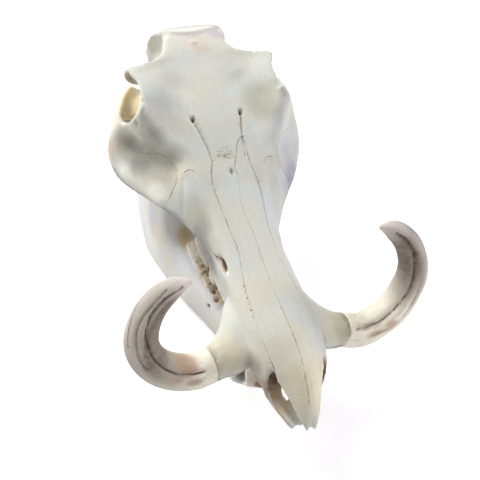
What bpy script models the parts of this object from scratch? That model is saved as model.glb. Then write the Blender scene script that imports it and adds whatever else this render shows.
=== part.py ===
"""Life-size skull of an adult warthog with its lower jaw: cranium, mandible and the two upper tusks.

Sizes are in millimetres and become metres when a mesh is made. The nose points along -Y, +Z is up,
+X is the animal's left side, and the lower border of the jaw rests on z = 0.
"""

import math

import bmesh
import bpy
import numpy as np

MM = 0.001

# Driving sizes
NASAL_TIP_Y = -195.0
NASAL_PARTING = 1.0
PALATE_Z = 80.0
OCCLUSAL_Z = 66.0
NODE_GAP = 0.3
SHEATH_EXIT = (65.0, -117.6, 88.2)
TUSK_BASE_RADIUS = 16.6
FLOOR_Z = 0.0

# Faces that each decimated body keeps, and the grain of the remesh that blends its pieces
CRANIUM_FACES = 7000
MANDIBLE_FACES = 3400
VOXEL = 1.5
SMOOTH_PASSES = 5
EASE_PASSES = 70
ARC_STEPS = 4


def clear_scene():
    for obj in list(bpy.data.objects):
        bpy.data.objects.remove(obj, do_unlink=True)


def make_collection(name):
    collection = bpy.data.collections.new(name)
    bpy.context.scene.collection.children.link(collection)
    return collection


def make_material(name, colour, roughness):
    material = bpy.data.materials.new(name)
    material.use_nodes = True
    shader = material.node_tree.nodes["Principled BSDF"]
    shader.inputs["Base Color"].default_value = (*colour, 1.0)
    shader.inputs["Roughness"].default_value = roughness
    shader.inputs["Metallic"].default_value = 0.0
    return material


def spline(points, steps, closed=False):
    """Points of a Catmull-Rom curve through the given ones; rows may hold any number of values."""
    points = np.array(points, float)
    count = len(points)
    out = []
    for i in range(count if closed else count - 1):
        if closed:
            p0, p1, p2, p3 = (points[(i + k) % count] for k in (-1, 0, 1, 2))
        else:
            p0, p1, p2, p3 = (points[min(max(i + k, 0), count - 1)] for k in (-1, 0, 1, 2))
        for k in range(steps):
            t = k / steps
            bend = (2 * p0 - 5 * p1 + 4 * p2 - p3) * t * t + (3 * p1 - p0 - 3 * p2 + p3) * t**3
            out.append(0.5 * (2 * p1 + (p2 - p0) * t + bend))
    if not closed:
        out.append(points[-1])
    return np.array(out)


def loft(name, rings, group):
    """A closed body through rings of equal point count, with a fan over each end."""
    rings = np.array(rings, float) * MM
    mesh = bpy.data.meshes.new(name)
    body = bmesh.new()
    rows = [[body.verts.new(point) for point in ring] for ring in rings]
    for low, high in zip(rows[:-1], rows[1:]):
        for i in range(len(low)):
            j = (i + 1) % len(low)
            body.faces.new((low[i], low[j], high[j], high[i]))
    for row in (rows[0], rows[-1]):
        centre = body.verts.new(sum((v.co for v in row[1:]), row[0].co.copy()) / len(row))
        for i in range(len(row)):
            body.faces.new((row[i], row[(i + 1) % len(row)], centre))
    bmesh.ops.recalc_face_normals(body, faces=body.faces)
    body.to_mesh(mesh)
    body.free()
    obj = bpy.data.objects.new(name, mesh)
    group.objects.link(obj)
    return obj


def ellipsoid(name, centre, radii, group, turn=(0.0, 0.0, 0.0)):
    bpy.ops.mesh.primitive_uv_sphere_add(
        segments=24,
        ring_count=16,
        radius=1.0,
        location=[value * MM for value in centre],
        rotation=[math.radians(angle) for angle in turn],
        scale=[value * MM for value in radii],
    )
    obj = bpy.context.object
    obj.name = name
    return move_to(obj, group)


def scoop(name, point, normal, along, radii, depth, group):
    """An ellipsoid that sinks this deep into a surface at a point: radii along, across and square to it."""
    normal = np.array(normal, float) / np.linalg.norm(normal)
    along = np.array(along, float) - normal * np.dot(along, normal)
    along /= np.linalg.norm(along)
    axes = np.array((along, np.cross(normal, along), normal))
    centre = np.array(point, float) + normal * (radii[2] - depth)
    obj = ellipsoid(name, (0, 0, 0), (1, 1, 1), group)
    corners = np.array([vertex.co[:] for vertex in obj.data.vertices])
    placed = (corners * radii) @ axes + centre
    for vertex, place in zip(obj.data.vertices, placed):
        vertex.co = place * MM
    obj.scale = (1.0, 1.0, 1.0)
    return obj


def rod(name, start, end, radius_start, radius_end, group, sides=20):
    """A straight tapering round bar from start to end."""
    start, end = np.array(start, float), np.array(end, float)
    axis = (end - start) / np.linalg.norm(end - start)
    side = np.cross(axis, (0.0, 0.0, 1.0) if abs(axis[2]) < 0.9 else (0.0, 1.0, 0.0))
    side /= np.linalg.norm(side)
    other = np.cross(axis, side)
    turns = [2 * math.pi * i / sides for i in range(sides)]
    circle = np.array([math.cos(a) * side + math.sin(a) * other for a in turns])
    return loft(name, [start + circle * radius_start, end + circle * radius_end], group)


def move_to(obj, group):
    for owner in list(obj.users_collection):
        owner.objects.unlink(obj)
    group.objects.link(obj)
    return obj


def sided(side, points):
    """The points as given for the left side (side 1), mirrored for the right one (side -1)."""
    return np.array(points, float) * (side, 1.0, 1.0)


def blade(name, rows, group, side=1, power=2.3, count=20, steps=3):
    """A bar of flat oval section through rows of (bottom xyz, top xyz, thickness, hollow of its face)."""
    values = np.array([[*low, *high, *rest, 0.0][:8] for low, high, *rest in rows], float)
    values = spline(values, steps)
    middles = (values[:, 0:3] + values[:, 3:6]) / 2
    paths = np.gradient(middles, axis=0)
    rings = []
    for middle, path, row in zip(middles, paths, values):
        tall = (row[3:6] - row[0:3]) / 2
        flat = np.cross(path, tall)
        flat /= np.linalg.norm(flat)
        ring = []
        for k in range(count):
            angle = 2 * math.pi * k / count
            c, s = math.cos(angle), math.sin(angle)
            along = math.copysign(abs(c) ** (2 / power), c)
            across = math.copysign(abs(s) ** (2 / power), s) * row[6] / 2 - row[7] * (1 - along**2)
            ring.append(middle + tall * along + flat * across)
        rings.append(sided(side, ring))
    return loft(name, rings, group)


def shell(name, rows, thickness, group, side=1):
    """A curved plate: rows of outer points, thickened inwards."""
    outer = np.array(rows, float)
    along, across = np.gradient(outer, axis=0), np.gradient(outer, axis=1)
    normal = np.cross(along, across)
    normal /= np.linalg.norm(normal, axis=2, keepdims=True)
    inner = outer + normal * thickness
    rings = [sided(side, np.concatenate([out, inn[::-1]])) for out, inn in zip(outer, inner)]
    return loft(name, rings, group)


# The sections of the cranium's body. Each row: y, then (x, z) from the midline of the roof down to the
# midline of the palate or skull base: crown, roof edge, edge underside, waist, wall, base, keel.
CORE_SECTIONS = (
    (-152, (0, 127.5), (21, 117), (27.5, 107), (29, 98), (28, 88), (22, 72), (0, 70)),
    (-135, (0, 132), (23, 125), (31, 113), (32, 104), (31, 94), (27, 78), (0, 75)),
    (-115, (0, 136), (24, 130), (33, 118), (34, 109), (33, 98), (30, 82), (0, 79)),
    (-90, (0, 138.5), (23, 134), (33, 122), (34, 112), (31, 100), (28, 81), (0, 80)),
    (-66, (0, 141), (22, 137), (32, 126), (32, 114), (30, 100), (27, 77), (0, 80)),
    (-40, (0, 147), (22, 143), (32, 131), (32, 116), (30, 100), (27, 74), (0, 81)),
    (-12, (0, 155.5), (24, 152), (35, 139), (33, 120), (29, 100), (28, 76), (0, 82)),
    (15, (0, 166), (29, 164), (42, 149), (37, 130), (29, 104), (28, 79), (0, 83)),
    (40, (0, 179), (38, 181), (50, 170), (42, 146), (32, 112), (29, 86), (0, 86)),
    (60, (0, 190), (53, 197), (56, 184), (42, 160), (34, 128), (30, 96), (0, 92)),
    (78, (0, 200), (68, 211), (66, 200), (38, 184), (32, 150), (26, 106), (0, 98)),
    (94, (0, 207.5), (71.5, 220), (66, 210), (36, 193), (31, 152), (24, 110), (0, 104)),
    (104, (0, 212), (69, 225), (63, 214), (36, 197), (32, 154), (24, 111), (0, 106)),
    (120, (0, 219), (69.5, 229), (63, 219), (35, 203), (33, 156), (24, 112), (0, 107)),
    (137, (0, 225.5), (75, 231), (66, 222), (36, 208), (36, 160), (26, 112), (0, 108)),
    (146, (0, 229.5), (47, 232), (42, 223), (36, 208), (40, 163), (28, 112), (0, 108)),
    (154, (0, 233), (36, 233.5), (35, 225), (37, 207), (44, 165), (30, 111), (0, 108)),
    (163, (0, 236), (31, 235.5), (33, 226), (38, 206), (45, 165), (30, 110), (0, 108)),
    (174, (0, 239), (27.5, 238.5), (32, 228), (38, 206), (46, 165), (30, 110), (0, 107)),
    (184, (0, 241), (25, 240.5), (33, 229), (38, 206), (46, 165), (28, 110), (0, 107)),
)


def cranium_body(group):
    """Snout, face, roof and braincase as one loft from front to back."""
    rows = []
    for y, crown, edge, under, waist, wall, base, keel in CORE_SECTIONS:
        dip = (edge[0] * 0.55, crown[1] + (edge[1] - crown[1]) * 0.3)
        half = (crown, dip, edge, under, waist, wall, base, keel)
        left = [(x, y, z) for x, z in half]
        right = [(-x, y, z) for x, z in half[-2:0:-1]]
        rows.append(left + right)
    rows = spline(rows, ARC_STEPS)
    rings = [spline(row, ARC_STEPS, closed=True) for row in rows]
    return loft("cranium_body", rings, group)


# The nasal bone's front half. Each row: y, z on the midline, then (x, z) of the lateral edge.
NASAL_ROWS = (
    (-112, 134.0, (23, 128)),
    (-122, 134.0, (23, 126.5)),
    (-138, 131.5, (23, 122.5)),
    (-157, 125.5, (21.5, 111)),
    (-165, 120.5, (17.5, 103)),
    (-173, 113.5, (14, 98)),
    (-181, 104, (11, 91.5)),
    (-188, 93, (8.2, 85)),
    (-193, 83, (6, 80)),
    (NASAL_TIP_Y, 76.5, (4, 75.5)),
)


def nasal(side, group):
    """One nasal bone, ending in a point beside the midline."""
    columns = 7
    rows = []
    for y, crown, (edge_x, edge_z) in NASAL_ROWS:
        inner_x = 0.2 + NASAL_PARTING * max(0.0, (-184 - y) / 11)
        row = []
        for k in range(columns):
            s = k / (columns - 1)
            row.append((inner_x + (edge_x - inner_x) * s, y, crown + (edge_z - crown) * s**1.8))
        rows.append(row)
    rows = spline(rows, 2)
    return shell("nasal", rows, 3.4, group, side)


# The premaxilla's side wall. Each row: top edge, bottom edge, and how far it swells out between them.
PREMAXILLA_ROWS = (
    ((31, -118, 117), (27, -118, 80), 3),
    ((29.5, -138, 115), (24, -136, 76), 3),
    ((25.5, -153, 109), (19.5, -150, 71.5), 3.5),
    ((24.5, -158, 98), (16.5, -158, 68), 3.5),
    ((22.5, -161, 87), (13, -165, 65), 3),
    ((18.5, -166.5, 76), (10.5, -172, 62.5), 2),
    ((13, -174.5, 68), (8, -179, 60), 1),
    ((8, -184, 63), (5.5, -185, 58.5), 0.3),
)


def premaxilla(side, group):
    columns = 6
    rows = []
    for top, bottom, swell in PREMAXILLA_ROWS:
        top, bottom = np.array(top, float), np.array(bottom, float)
        row = []
        for k in range(columns):
            s = k / (columns - 1)
            row.append(top + (bottom - top) * s + np.array((swell, 0, 0)) * math.sin(math.pi * s))
        rows.append(row)
    rows = spline(rows, 2)
    return shell("premaxilla", rows, 3.6, group, side)


def front_palate(group):
    """The floor of the nasal opening, from the premaxilla's tip back into the palate."""
    rows = []
    for top, bottom, _ in PREMAXILLA_ROWS:
        x, y, z = bottom
        rows.append(((-x + 1, y, z + 2.4), (x - 1, y, z + 2.4), 5.0))
    return blade("front_palate", rows, group, power=3)


# The cheek arch. Each row: lower edge, upper edge, thickness, and how far its face is hollowed. It runs
# from the snout's wall round under the eye socket to the braincase.
ARCH_ROWS = (
    ((28, -26, 108), (22, -8, 148), 12, 0),
    ((38, -8, 120), (37, 24, 166), 15, 1),
    ((51, 12, 131), (50, 50, 186), 16, 3),
    ((69, 34, 138), (66, 72, 203), 15, 7),
    ((87, 61, 138), (77, 86, 212), 14, 9),
    ((99, 83, 138), (84, 93.5, 202), 12, 7),
    ((103, 98, 143), (90, 107, 193.5), 11, 3),
    ((102, 111, 147), (88, 121, 192.5), 10, 0),
    ((96, 125, 149), (82, 135, 195.5), 9, 0),
    ((88, 141, 149), (76, 147, 196.5), 9, 0),
    ((80, 153, 142), (67, 159, 195), 10, 0),
    ((66, 166, 135), (56, 169, 182), 12, 0),
    ((42, 172, 130), (38, 172, 174), 14, 0),
)


def cheek_arch(side, group):
    return blade("cheek_arch", ARCH_ROWS, group, side, power=2.6, count=24)


def postorbital(side, group):
    """The spur at the roof's rear corner that closes the eye socket against the cheek arch."""
    rows = (
        ((58, 137, 212), (60, 134, 230), 12),
        ((68, 139, 211), (69, 136, 231), 11),
        ((74.5, 140, 213), (75, 137, 231), 10),
        ((78, 140, 217), (78, 139, 227), 6),
    )
    return blade("postorbital", rows, group, side)


# The back plate. Each row: z, half width, y of its side edge, and how far its middle is hollowed.
BACK_ROWS = (
    (242, 25, 182, 0),
    (236, 37, 186, 1),
    (227, 43, 190, 3),
    (214, 44.5, 192, 6),
    (200, 43, 190, 8),
    (185, 42, 186, 8),
    (168, 45, 181, 5),
    (150, 50, 177, 2),
    (134, 44, 175, 0),
    (114, 30, 176, 0),
)


def back_plate(group):
    """The occipital plate with the crest that overhangs it on each side."""
    thick = 5.0
    across = [-1 + 2 * k / 12 for k in range(13)]
    rings = []
    for z, half_width, edge_y, hollow in spline(BACK_ROWS, 3):
        back = [(half_width * s, edge_y - hollow * (1 - s**4), z) for s in across]
        front = [(x * 0.97, y - thick - 6 * (1 - (x / half_width) ** 2), z) for x, y, z in back[::-1]]
        rings.append(back + front)
    return loft("back_plate", rings, group)


def skull_base(side, group):
    """Condyle, paroccipital process, ear bone, joint surface and pterygoid of one side."""
    ellipsoid("condyle", (side * 15.5, 183, 120), (8.5, 12, 14), group, (20, 0, side * -12))
    rod("paroccipital", (side * 36, 170, 132), (side * 31, 168, 80), 10, 3.5, group)
    ellipsoid("ear_bone", (side * 25, 150, 108), (9, 13, 12), group)
    ellipsoid("joint_roof", (side * 62, 146, 176.5), (24, 20, 8.5), group)
    ellipsoid("cheek_sinus", (side * 55, 73, 168), (24, 17, 24), group)
    rows = (
        ((17, 52, 80), (15, 52, 104), 7),
        ((17, 66, 78), (15, 66, 108), 5),
        ((17, 80, 84), (15, 82, 110), 4),
        ((18, 92, 98), (16, 96, 112), 4),
    )
    blade("pterygoid", rows, group, side)


# The tusk's sheath on the snout. Each row: x, y and z of its middle, half depth along y, half height.
SHEATH_ROWS = (
    (6, -92, 102, 40, 17),
    (24, -96, 100.5, 38, 20),
    (35, -100, 98, 35.5, 20),
    (44, -108, 93.5, 27, 19),
    (52, -112.5, 90.5, 21.5, 18),
    (60, -116, 89, 17.6, 17.2),
    (66, -118, 87.6, 16.9, 16.9),
    (72, -119, 86, 16.8, 16.8),
)


def sheath(side, group):
    """The bony cone that holds a tusk, standing out from the snout."""
    sides = 28
    turns = [2 * math.pi * k / sides for k in range(sides)]
    rings = []
    for x, y, z, deep, tall in spline(SHEATH_ROWS, 3):
        rings.append(sided(side, [(x, y + deep * math.cos(a), z + tall * math.sin(a)) for a in turns]))
    return loft("sheath", rings, group)


def ellipse_tunnel(name, rows, group, sides=24):
    """A cutter along y through rows of (y, z, half width, half height), centred on the midline."""
    rings = []
    for y, z, wide, tall in spline(rows, 3):
        turns = [2 * math.pi * k / sides for k in range(sides)]
        rings.append([(wide * math.cos(a), y, z + tall * math.sin(a)) for a in turns])
    return loft(name, rings, group)


# The hollow of the cheek in front of the eye. Each row: point, normal, direction, radii, depth.
CHEEK_SCOOPS = (
    ((84, 84, 187), (0.83, -0.53, 0.16), (-0.6, -0.8, 0), (19, 18, 13), 6.5),
    ((70, 66, 188), (0.68, -0.62, 0.4), (-0.6, -0.8, 0), (36, 17, 17), 9.5),
)


# Where the forms of the face run softly into each other. Each row: reach, then the points of a line.
SOFT_LINES = (
    (17, (66, 72, 204), (50, 50, 187), (36, 24, 167), (28, -8, 151), (25, -40, 141), (25, -90, 132)),
    (12, (0, -117, 136), (24, -117, 128)),
    (9, (24, -118, 127), (23, -140, 119), (23, -150, 112)),
)


def cranium_cutters(group):
    nose = ((-170, 92, 20, 17), (-156, 96, 22, 21), (-140, 101, 24, 22), (-120, 105, 22, 19), (-98, 108, 10, 10))
    ellipse_tunnel("nose_cut", nose, group)
    throat = ((40, 97, 8, 6), (54, 96, 12, 9), (72, 92, 12.5, 11), (96, 88, 13, 13), (110, 84, 13, 13))
    ellipse_tunnel("throat_cut", throat, group)
    rod("spinal_cut", (0, 205, 126), (0, 150, 140), 12.5, 11, group)
    for side in (1, -1):
        ellipsoid("palate_slit", (side * 6, -153, 68), (2.6, 11, 12), group)
        rod("cheek_canal", (side * 39, -60, 125), (side * 24, -10, 123), 4.0, 3.2, group)
        rod("brow_canal", (side * 25, 80, 216), (side * 22, 100, 196), 1.9, 1.5, group)
        ellipsoid("crest_cup", (side * 42, 175, 228), (14, 11, 18), group, (0, side * 10, side * -25))
        ellipsoid("spur_hollow", (side * 75, 133, 220), (8, 5.5, 8), group)
        for point, normal, along, radii, depth in CHEEK_SCOOPS:
            point, normal, along = sided(side, point), sided(side, normal), sided(side, along)
            scoop("cheek_scoop", point, normal, along, radii, depth, group)


def tooth_prism(name, centre, length, width, lobes, low_z, high_z, turn, group):
    """A molar: an upright prism whose sides are scalloped by its columns of enamel."""
    count = 16 + 4 * lobes
    rings = []
    for z in (low_z, high_z):
        ring = []
        for k in range(count):
            angle = 2 * math.pi * k / count
            c, s = math.cos(angle), math.sin(angle)
            y = math.copysign(abs(c) ** 0.55, c) * length / 2
            x = math.copysign(abs(s) ** 0.55, s) * width / 2
            ripple = 1 + 0.07 * math.cos(2 * math.pi * lobes * y / length)
            ring.append((x * ripple, y))
        lean = math.radians(turn)
        turned = [(x * math.cos(lean) - y * math.sin(lean), x * math.sin(lean) + y * math.cos(lean)) for x, y in ring]
        rings.append([(centre[0] + x, centre[1] + y, z) for x, y in turned])
    return loft(name, rings, group)


# Molars of one side. Each row: x, y of the middle, length, width, columns, turn in degrees.
UPPER_MOLARS = ((23.5, 21.0, 46.0, 12.5, 7, -3.0), (23.5, -12.0, 17.0, 12.0, 3, -2.0))
LOWER_MOLARS = ((32.0, 22.0, 46.0, 12.0, 7, -4.0), (29.5, -10.0, 15.0, 11.5, 3, -4.0))


def molars(rows, low_z, high_z, group):
    for side in (1, -1):
        for x, y, length, width, lobes, turn in rows:
            tooth_prism("molar", (side * x, y), length, width, lobes, low_z, high_z, side * turn, group)


# The middle line of each tusk beyond its sheath, for the left side and the right, and its radius there.
TUSK_PATHS = {
    1: ((80, -119.5, 83), (94, -119, 81.5), (111, -117, 90), (123, -115, 103), (129, -112, 121),
        (130.3, -110.5, 140), (126, -108.5, 160), (117, -106, 180), (106, -104.5, 195), (93, -103.5, 206.5),
        (79, -103, 213)),
    -1: ((80, -119.5, 87.5), (94, -118, 90), (107, -116, 97.5), (117, -113.5, 109), (123.5, -111, 124),
         (125.5, -109.5, 142), (122.5, -108, 161), (116, -106.5, 178), (107, -105.5, 190), (96, -105, 197.5),
         (83, -104.5, 199.5)),
}
TUSK_RADII = (16.7, 16.6, 16.3, 15.8, 15.2, 14.4, 13.2, 12.0, 10.6, 8.0, 1.4)
GROOVE_DEPTH = 0.13
GROOVE_ANGLE = 0.3


def sheath_axis(side):
    """The middle of the sheath's mouth and the direction in which its tusk leaves."""
    mouth = np.array(SHEATH_EXIT)
    leaving = np.array(TUSK_PATHS[side][0], float) - mouth
    return mouth, leaving / np.linalg.norm(leaving)


def tusk(side, group, sides=20, steps=3):
    """One upper tusk: a tapering horn of ivory with a groove along its front."""
    mouth, leaving = sheath_axis(side)
    centres = spline([mouth + leaving * NODE_GAP, *TUSK_PATHS[side]], steps)
    radii = spline([[TUSK_BASE_RADIUS], *[[r] for r in TUSK_RADII]], steps)[:, 0]
    tangents = np.gradient(centres, axis=0)
    tangents[0] = leaving
    rings = []
    for centre, tangent, radius in zip(centres, tangents, radii):
        tangent /= np.linalg.norm(tangent)
        front = np.array((0.0, -1.0, 0.0)) + tangent * tangent[1]
        front /= np.linalg.norm(front)
        out = np.cross(tangent, front)
        ring = []
        for k in range(sides):
            angle = 2 * math.pi * k / sides
            groove = GROOVE_DEPTH * math.exp(-((math.remainder(angle, 2 * math.pi) / GROOVE_ANGLE) ** 2))
            size = radius * (1 - groove)
            ring.append(centre + (front * math.cos(angle) + out * math.sin(angle)) * size)
        rings.append(sided(side, ring))
    return loft("tusk", rings, group)


def sheath_mouth(side, group):
    """The cutter that leaves the end of a sheath flat, square to its tusk."""
    mouth, leaving = sheath_axis(side)
    start, end = sided(side, mouth), sided(side, mouth + leaving * 12)
    return rod("sheath_mouth", start, end, 24, 24, group)


# One half of the lower jaw. Each row: y, then (x, z) of the lower inner and outer corners, the outer swell,
# the upper outer and inner corners, and the inner wall.
JAW_SECTIONS = (
    (-66, (6, 5), (18, 4), (27, 22), (25, 40), (14, 40), (9, 22)),
    (-42, (12, -1), (25, -1), (34, 22), (31, 50), (17, 52), (14, 25)),
    (-22, (20, 0.5), (32, 0.5), (41, 23), (36, 57), (18, 59), (19, 26)),
    (0, (31, 5), (43, 5), (50, 24), (40, 60), (22, 60), (27, 27)),
    (30, (43, 8), (54, 8), (60, 26), (44, 60), (28, 60), (37, 30)),
    (54, (46, 7), (60, 7), (65.5, 32), (53, 66), (22, 61), (33, 32)),
    (74, (50, 3), (64, 3), (68, 42), (58, 100), (45, 92), (23, 60)),
    (90, (58, -1), (66, -1), (69.5, 50), (60, 122), (54, 122), (58, 56)),
    (102, (60, -0.5), (68, -0.5), (70, 53), (61, 146), (55, 146), (62, 58)),
    (114, (61, 4), (68.5, 4), (70.5, 57), (62, 140), (55, 140), (63, 62)),
    (130, (62, 15), (68.5, 15), (70, 61), (64, 151), (53, 151), (63, 66)),
    (142, (62, 30), (68, 30), (69.5, 66), (64, 152), (53, 152), (63, 72)),
    (149, (62, 48), (67, 48), (68, 76), (61, 138), (56, 138), (63, 80)),
)


def jaw_half(side, group):
    rows = [[(x, y, z) for x, z in corners] for y, *corners in JAW_SECTIONS]
    rows = spline(rows, ARC_STEPS)
    rings = [sided(side, spline(row, ARC_STEPS, closed=True)) for row in rows]
    return loft("jaw_half", rings, group)


# The front of the lower jaw. Each row: y, half width, upper and lower z, and how deep its top is hollowed.
CHIN_SECTIONS = (
    (-44, 26, 36, 6, 12),
    (-62, 27, 42, 3, 10),
    (-78, 31, 44, 7, 8),
    (-94, 37, 47, 14, 6),
    (-107, 40, 50, 21, 5),
    (-119, 34, 52, 29, 4),
    (-128, 24, 53, 37, 3),
    (-134, 16, 52.5, 44, 1),
)


def chin(group):
    rings = []
    sides = 28
    for y, half_width, top, low, hollow in spline(CHIN_SECTIONS, 3):
        ring = []
        for k in range(sides):
            angle = 2 * math.pi * k / sides
            c, s = math.cos(angle), math.sin(angle)
            x = math.copysign(abs(c) ** 0.8, c) * half_width
            z = (top + low) / 2 + math.copysign(abs(s) ** 0.8, s) * (top - low) / 2
            if s > 0:
                z -= hollow * (1 - (x / half_width) ** 2) * s
            ring.append((x, y, z))
        rings.append(ring)
    return loft("chin", rings, group)


def jaw_condyle(side, group):
    ellipsoid("jaw_condyle", (side * 58, 138, 159), (15, 8, 7), group)


def mandible_cutters(group):
    for side in (1, -1):
        rod("tusk_socket", (side * 52, -140, 50), (side * 22, -104, 36), 7.5, 6.5, group)
        rod("chin_hole", (side * 46, -34, 41), (side * 26, -22, 38), 2.2, 2.0, group)
        for y, radius in ((-22, 3.2), (-31, 3.0), (-41, 2.6)):
            x = side * (29.5 + 0.05 * y)
            rod("tooth_socket", (x, y, 66), (x, y, 44), radius, radius * 0.7, group)


def union(name, pieces, group):
    """All pieces of a collection joined into one new object."""
    first = pieces.objects[0]
    move_to(first, group)
    modifier = first.modifiers.new("join", "BOOLEAN")
    modifier.operation = "UNION"
    modifier.operand_type = "COLLECTION"
    modifier.collection = pieces
    modifier.solver = "EXACT"
    modifier.use_self = True
    apply_modifiers(first)
    drop_collection(pieces)
    first.name = name
    first.data.name = name
    return first


def subtract(obj, cutters):
    modifier = obj.modifiers.new("cut", "BOOLEAN")
    modifier.operation = "DIFFERENCE"
    modifier.operand_type = "COLLECTION"
    modifier.collection = cutters
    modifier.solver = "EXACT"
    modifier.use_self = True
    apply_modifiers(obj)
    drop_collection(cutters)


def apply_modifiers(obj):
    bpy.context.view_layer.update()
    evaluated = obj.evaluated_get(bpy.context.evaluated_depsgraph_get())
    mesh = bpy.data.meshes.new_from_object(evaluated)
    mesh.transform(obj.matrix_world)
    obj.modifiers.clear()
    obj.data = mesh
    obj.location = (0.0, 0.0, 0.0)
    obj.rotation_euler = (0.0, 0.0, 0.0)
    obj.scale = (1.0, 1.0, 1.0)


def drop_collection(collection):
    for obj in list(collection.objects):
        bpy.data.objects.remove(obj, do_unlink=True)
    bpy.data.collections.remove(collection)


def soften_along(obj, lines):
    """Weights for a smoothing pass that fades away from each line, on both sides of the midline."""
    points = np.array([vertex.co[:] for vertex in obj.data.vertices]) / MM
    points[:, 0] = abs(points[:, 0])
    weights = np.zeros(len(points))
    for reach, *knots in lines:
        knots = np.array(knots, float)
        for start, end in zip(knots[:-1], knots[1:]):
            step = end - start
            along = np.clip((points - start) @ step / (step @ step), 0, 1)
            away = np.linalg.norm(points - start - along[:, None] * step, axis=1)
            weights = np.maximum(weights, np.clip(1.5 * (1 - away / reach), 0, 1))
    group = obj.vertex_groups.new(name="soft")
    for index in np.nonzero(weights)[0]:
        group.add([int(index)], float(weights[index]), "REPLACE")


def blend(obj, faces, soft_lines=()):
    """Remesh the joined pieces into one skin, soften it and keep about this many triangles."""
    remesh = obj.modifiers.new("skin", "REMESH")
    remesh.mode = "VOXEL"
    remesh.voxel_size = VOXEL * MM
    smooth = obj.modifiers.new("soften", "SMOOTH")
    smooth.factor = 0.5
    smooth.iterations = SMOOTH_PASSES
    apply_modifiers(obj)
    if soft_lines:
        soften_along(obj, soft_lines)
        ease = obj.modifiers.new("ease", "SMOOTH")
        ease.factor = 0.5
        ease.iterations = EASE_PASSES
        ease.vertex_group = "soft"
    triangulate = obj.modifiers.new("triangles", "TRIANGULATE")
    triangulate.min_vertices = 4
    apply_modifiers(obj)
    keep_largest(obj)
    decimate = obj.modifiers.new("thin_out", "DECIMATE")
    decimate.ratio = faces / len(obj.data.polygons)
    apply_modifiers(obj)


def keep_largest(obj):
    """Drop every surface but the largest, which fills sealed hollows and loses loose scraps."""
    body = bmesh.new()
    body.from_mesh(obj.data)
    body.verts.ensure_lookup_table()
    seen, best = set(), []
    for start in body.verts:
        if start.index in seen:
            continue
        island, queue = [], [start]
        seen.add(start.index)
        while queue:
            vertex = queue.pop()
            island.append(vertex)
            for edge in vertex.link_edges:
                other = edge.other_vert(vertex)
                if other.index not in seen:
                    seen.add(other.index)
                    queue.append(other)
        if len(island) > len(best):
            best = island
    kept = set(best)
    bmesh.ops.delete(body, geom=[v for v in body.verts if v not in kept], context="VERTS")
    body.to_mesh(obj.data)
    body.free()


def box(name, low, high, group):
    size = [(b - a) * MM for a, b in zip(low, high)]
    centre = [(a + b) / 2 * MM for a, b in zip(low, high)]
    bpy.ops.mesh.primitive_cube_add(size=1.0, location=centre, scale=size)
    obj = bpy.context.object
    obj.name = name
    return move_to(obj, group)


def finish(obj, material):
    obj.data.materials.clear()
    obj.data.materials.append(material)
    obj.data.shade_smooth()
    obj.data.set_sharp_from_angle(angle=math.radians(50))


def build_cranium(parts, material):
    pieces = make_collection("cranium_pieces")
    cranium_body(pieces)
    front_palate(pieces)
    back_plate(pieces)
    rod("nape_ridge", (0, 183, 234), (0, 178, 150), 4, 3.5, pieces)
    for side in (1, -1):
        nasal(side, pieces)
        premaxilla(side, pieces)
        cheek_arch(side, pieces)
        postorbital(side, pieces)
        skull_base(side, pieces)
        sheath(side, pieces)
    cranium = union("cranium", pieces, parts)
    cutters = make_collection("cranium_cutters")
    cranium_cutters(cutters)
    subtract(cranium, cutters)
    blend(cranium, CRANIUM_FACES, SOFT_LINES)
    crowns = make_collection("cranium_crowns")
    move_to(cranium, crowns)
    molars(UPPER_MOLARS, OCCLUSAL_Z + NODE_GAP / 2, PALATE_Z + 12, crowns)
    cranium = union("cranium", crowns, parts)
    trims = make_collection("cranium_trims")
    for side in (1, -1):
        sheath_mouth(side, trims)
    subtract(cranium, trims)
    keep_largest(cranium)
    finish(cranium, material)


def build_mandible(parts, material):
    pieces = make_collection("mandible_pieces")
    chin(pieces)
    for side in (1, -1):
        jaw_half(side, pieces)
        jaw_condyle(side, pieces)
    mandible = union("mandible", pieces, parts)
    cutters = make_collection("mandible_cutters")
    mandible_cutters(cutters)
    subtract(mandible, cutters)
    blend(mandible, MANDIBLE_FACES)
    crowns = make_collection("mandible_crowns")
    move_to(mandible, crowns)
    molars(LOWER_MOLARS, 44.0, OCCLUSAL_Z - NODE_GAP / 2, crowns)
    mandible = union("mandible", crowns, parts)
    trims = make_collection("mandible_trims")
    box("floor_plane", (-150, -200, -40), (150, 250, FLOOR_Z), trims)
    subtract(mandible, trims)
    keep_largest(mandible)
    finish(mandible, material)


def build_tusks(parts, material):
    for side, name in ((1, "tusk_left"), (-1, "tusk_right")):
        obj = tusk(side, parts)
        obj.name = name
        obj.data.name = name
        finish(obj, material)


def main():
    clear_scene()
    parts = make_collection("warthog_skull")
    build_cranium(parts, make_material("cranium_bone", (0.80, 0.80, 0.76), 0.55))
    build_mandible(parts, make_material("mandible_bone", (0.78, 0.77, 0.72), 0.58))
    build_tusks(parts, make_material("tusk_ivory", (0.78, 0.71, 0.58), 0.35))


main()
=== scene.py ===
# Warthog skull: the bleached bone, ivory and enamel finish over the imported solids.
# Lengths in the dictionaries are millimetres, and the animal's own left side is +X.
import math

import bpy
import numpy as np
from mathutils import Matrix, Vector, noise
from mathutils.bvhtree import BVHTree


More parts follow.
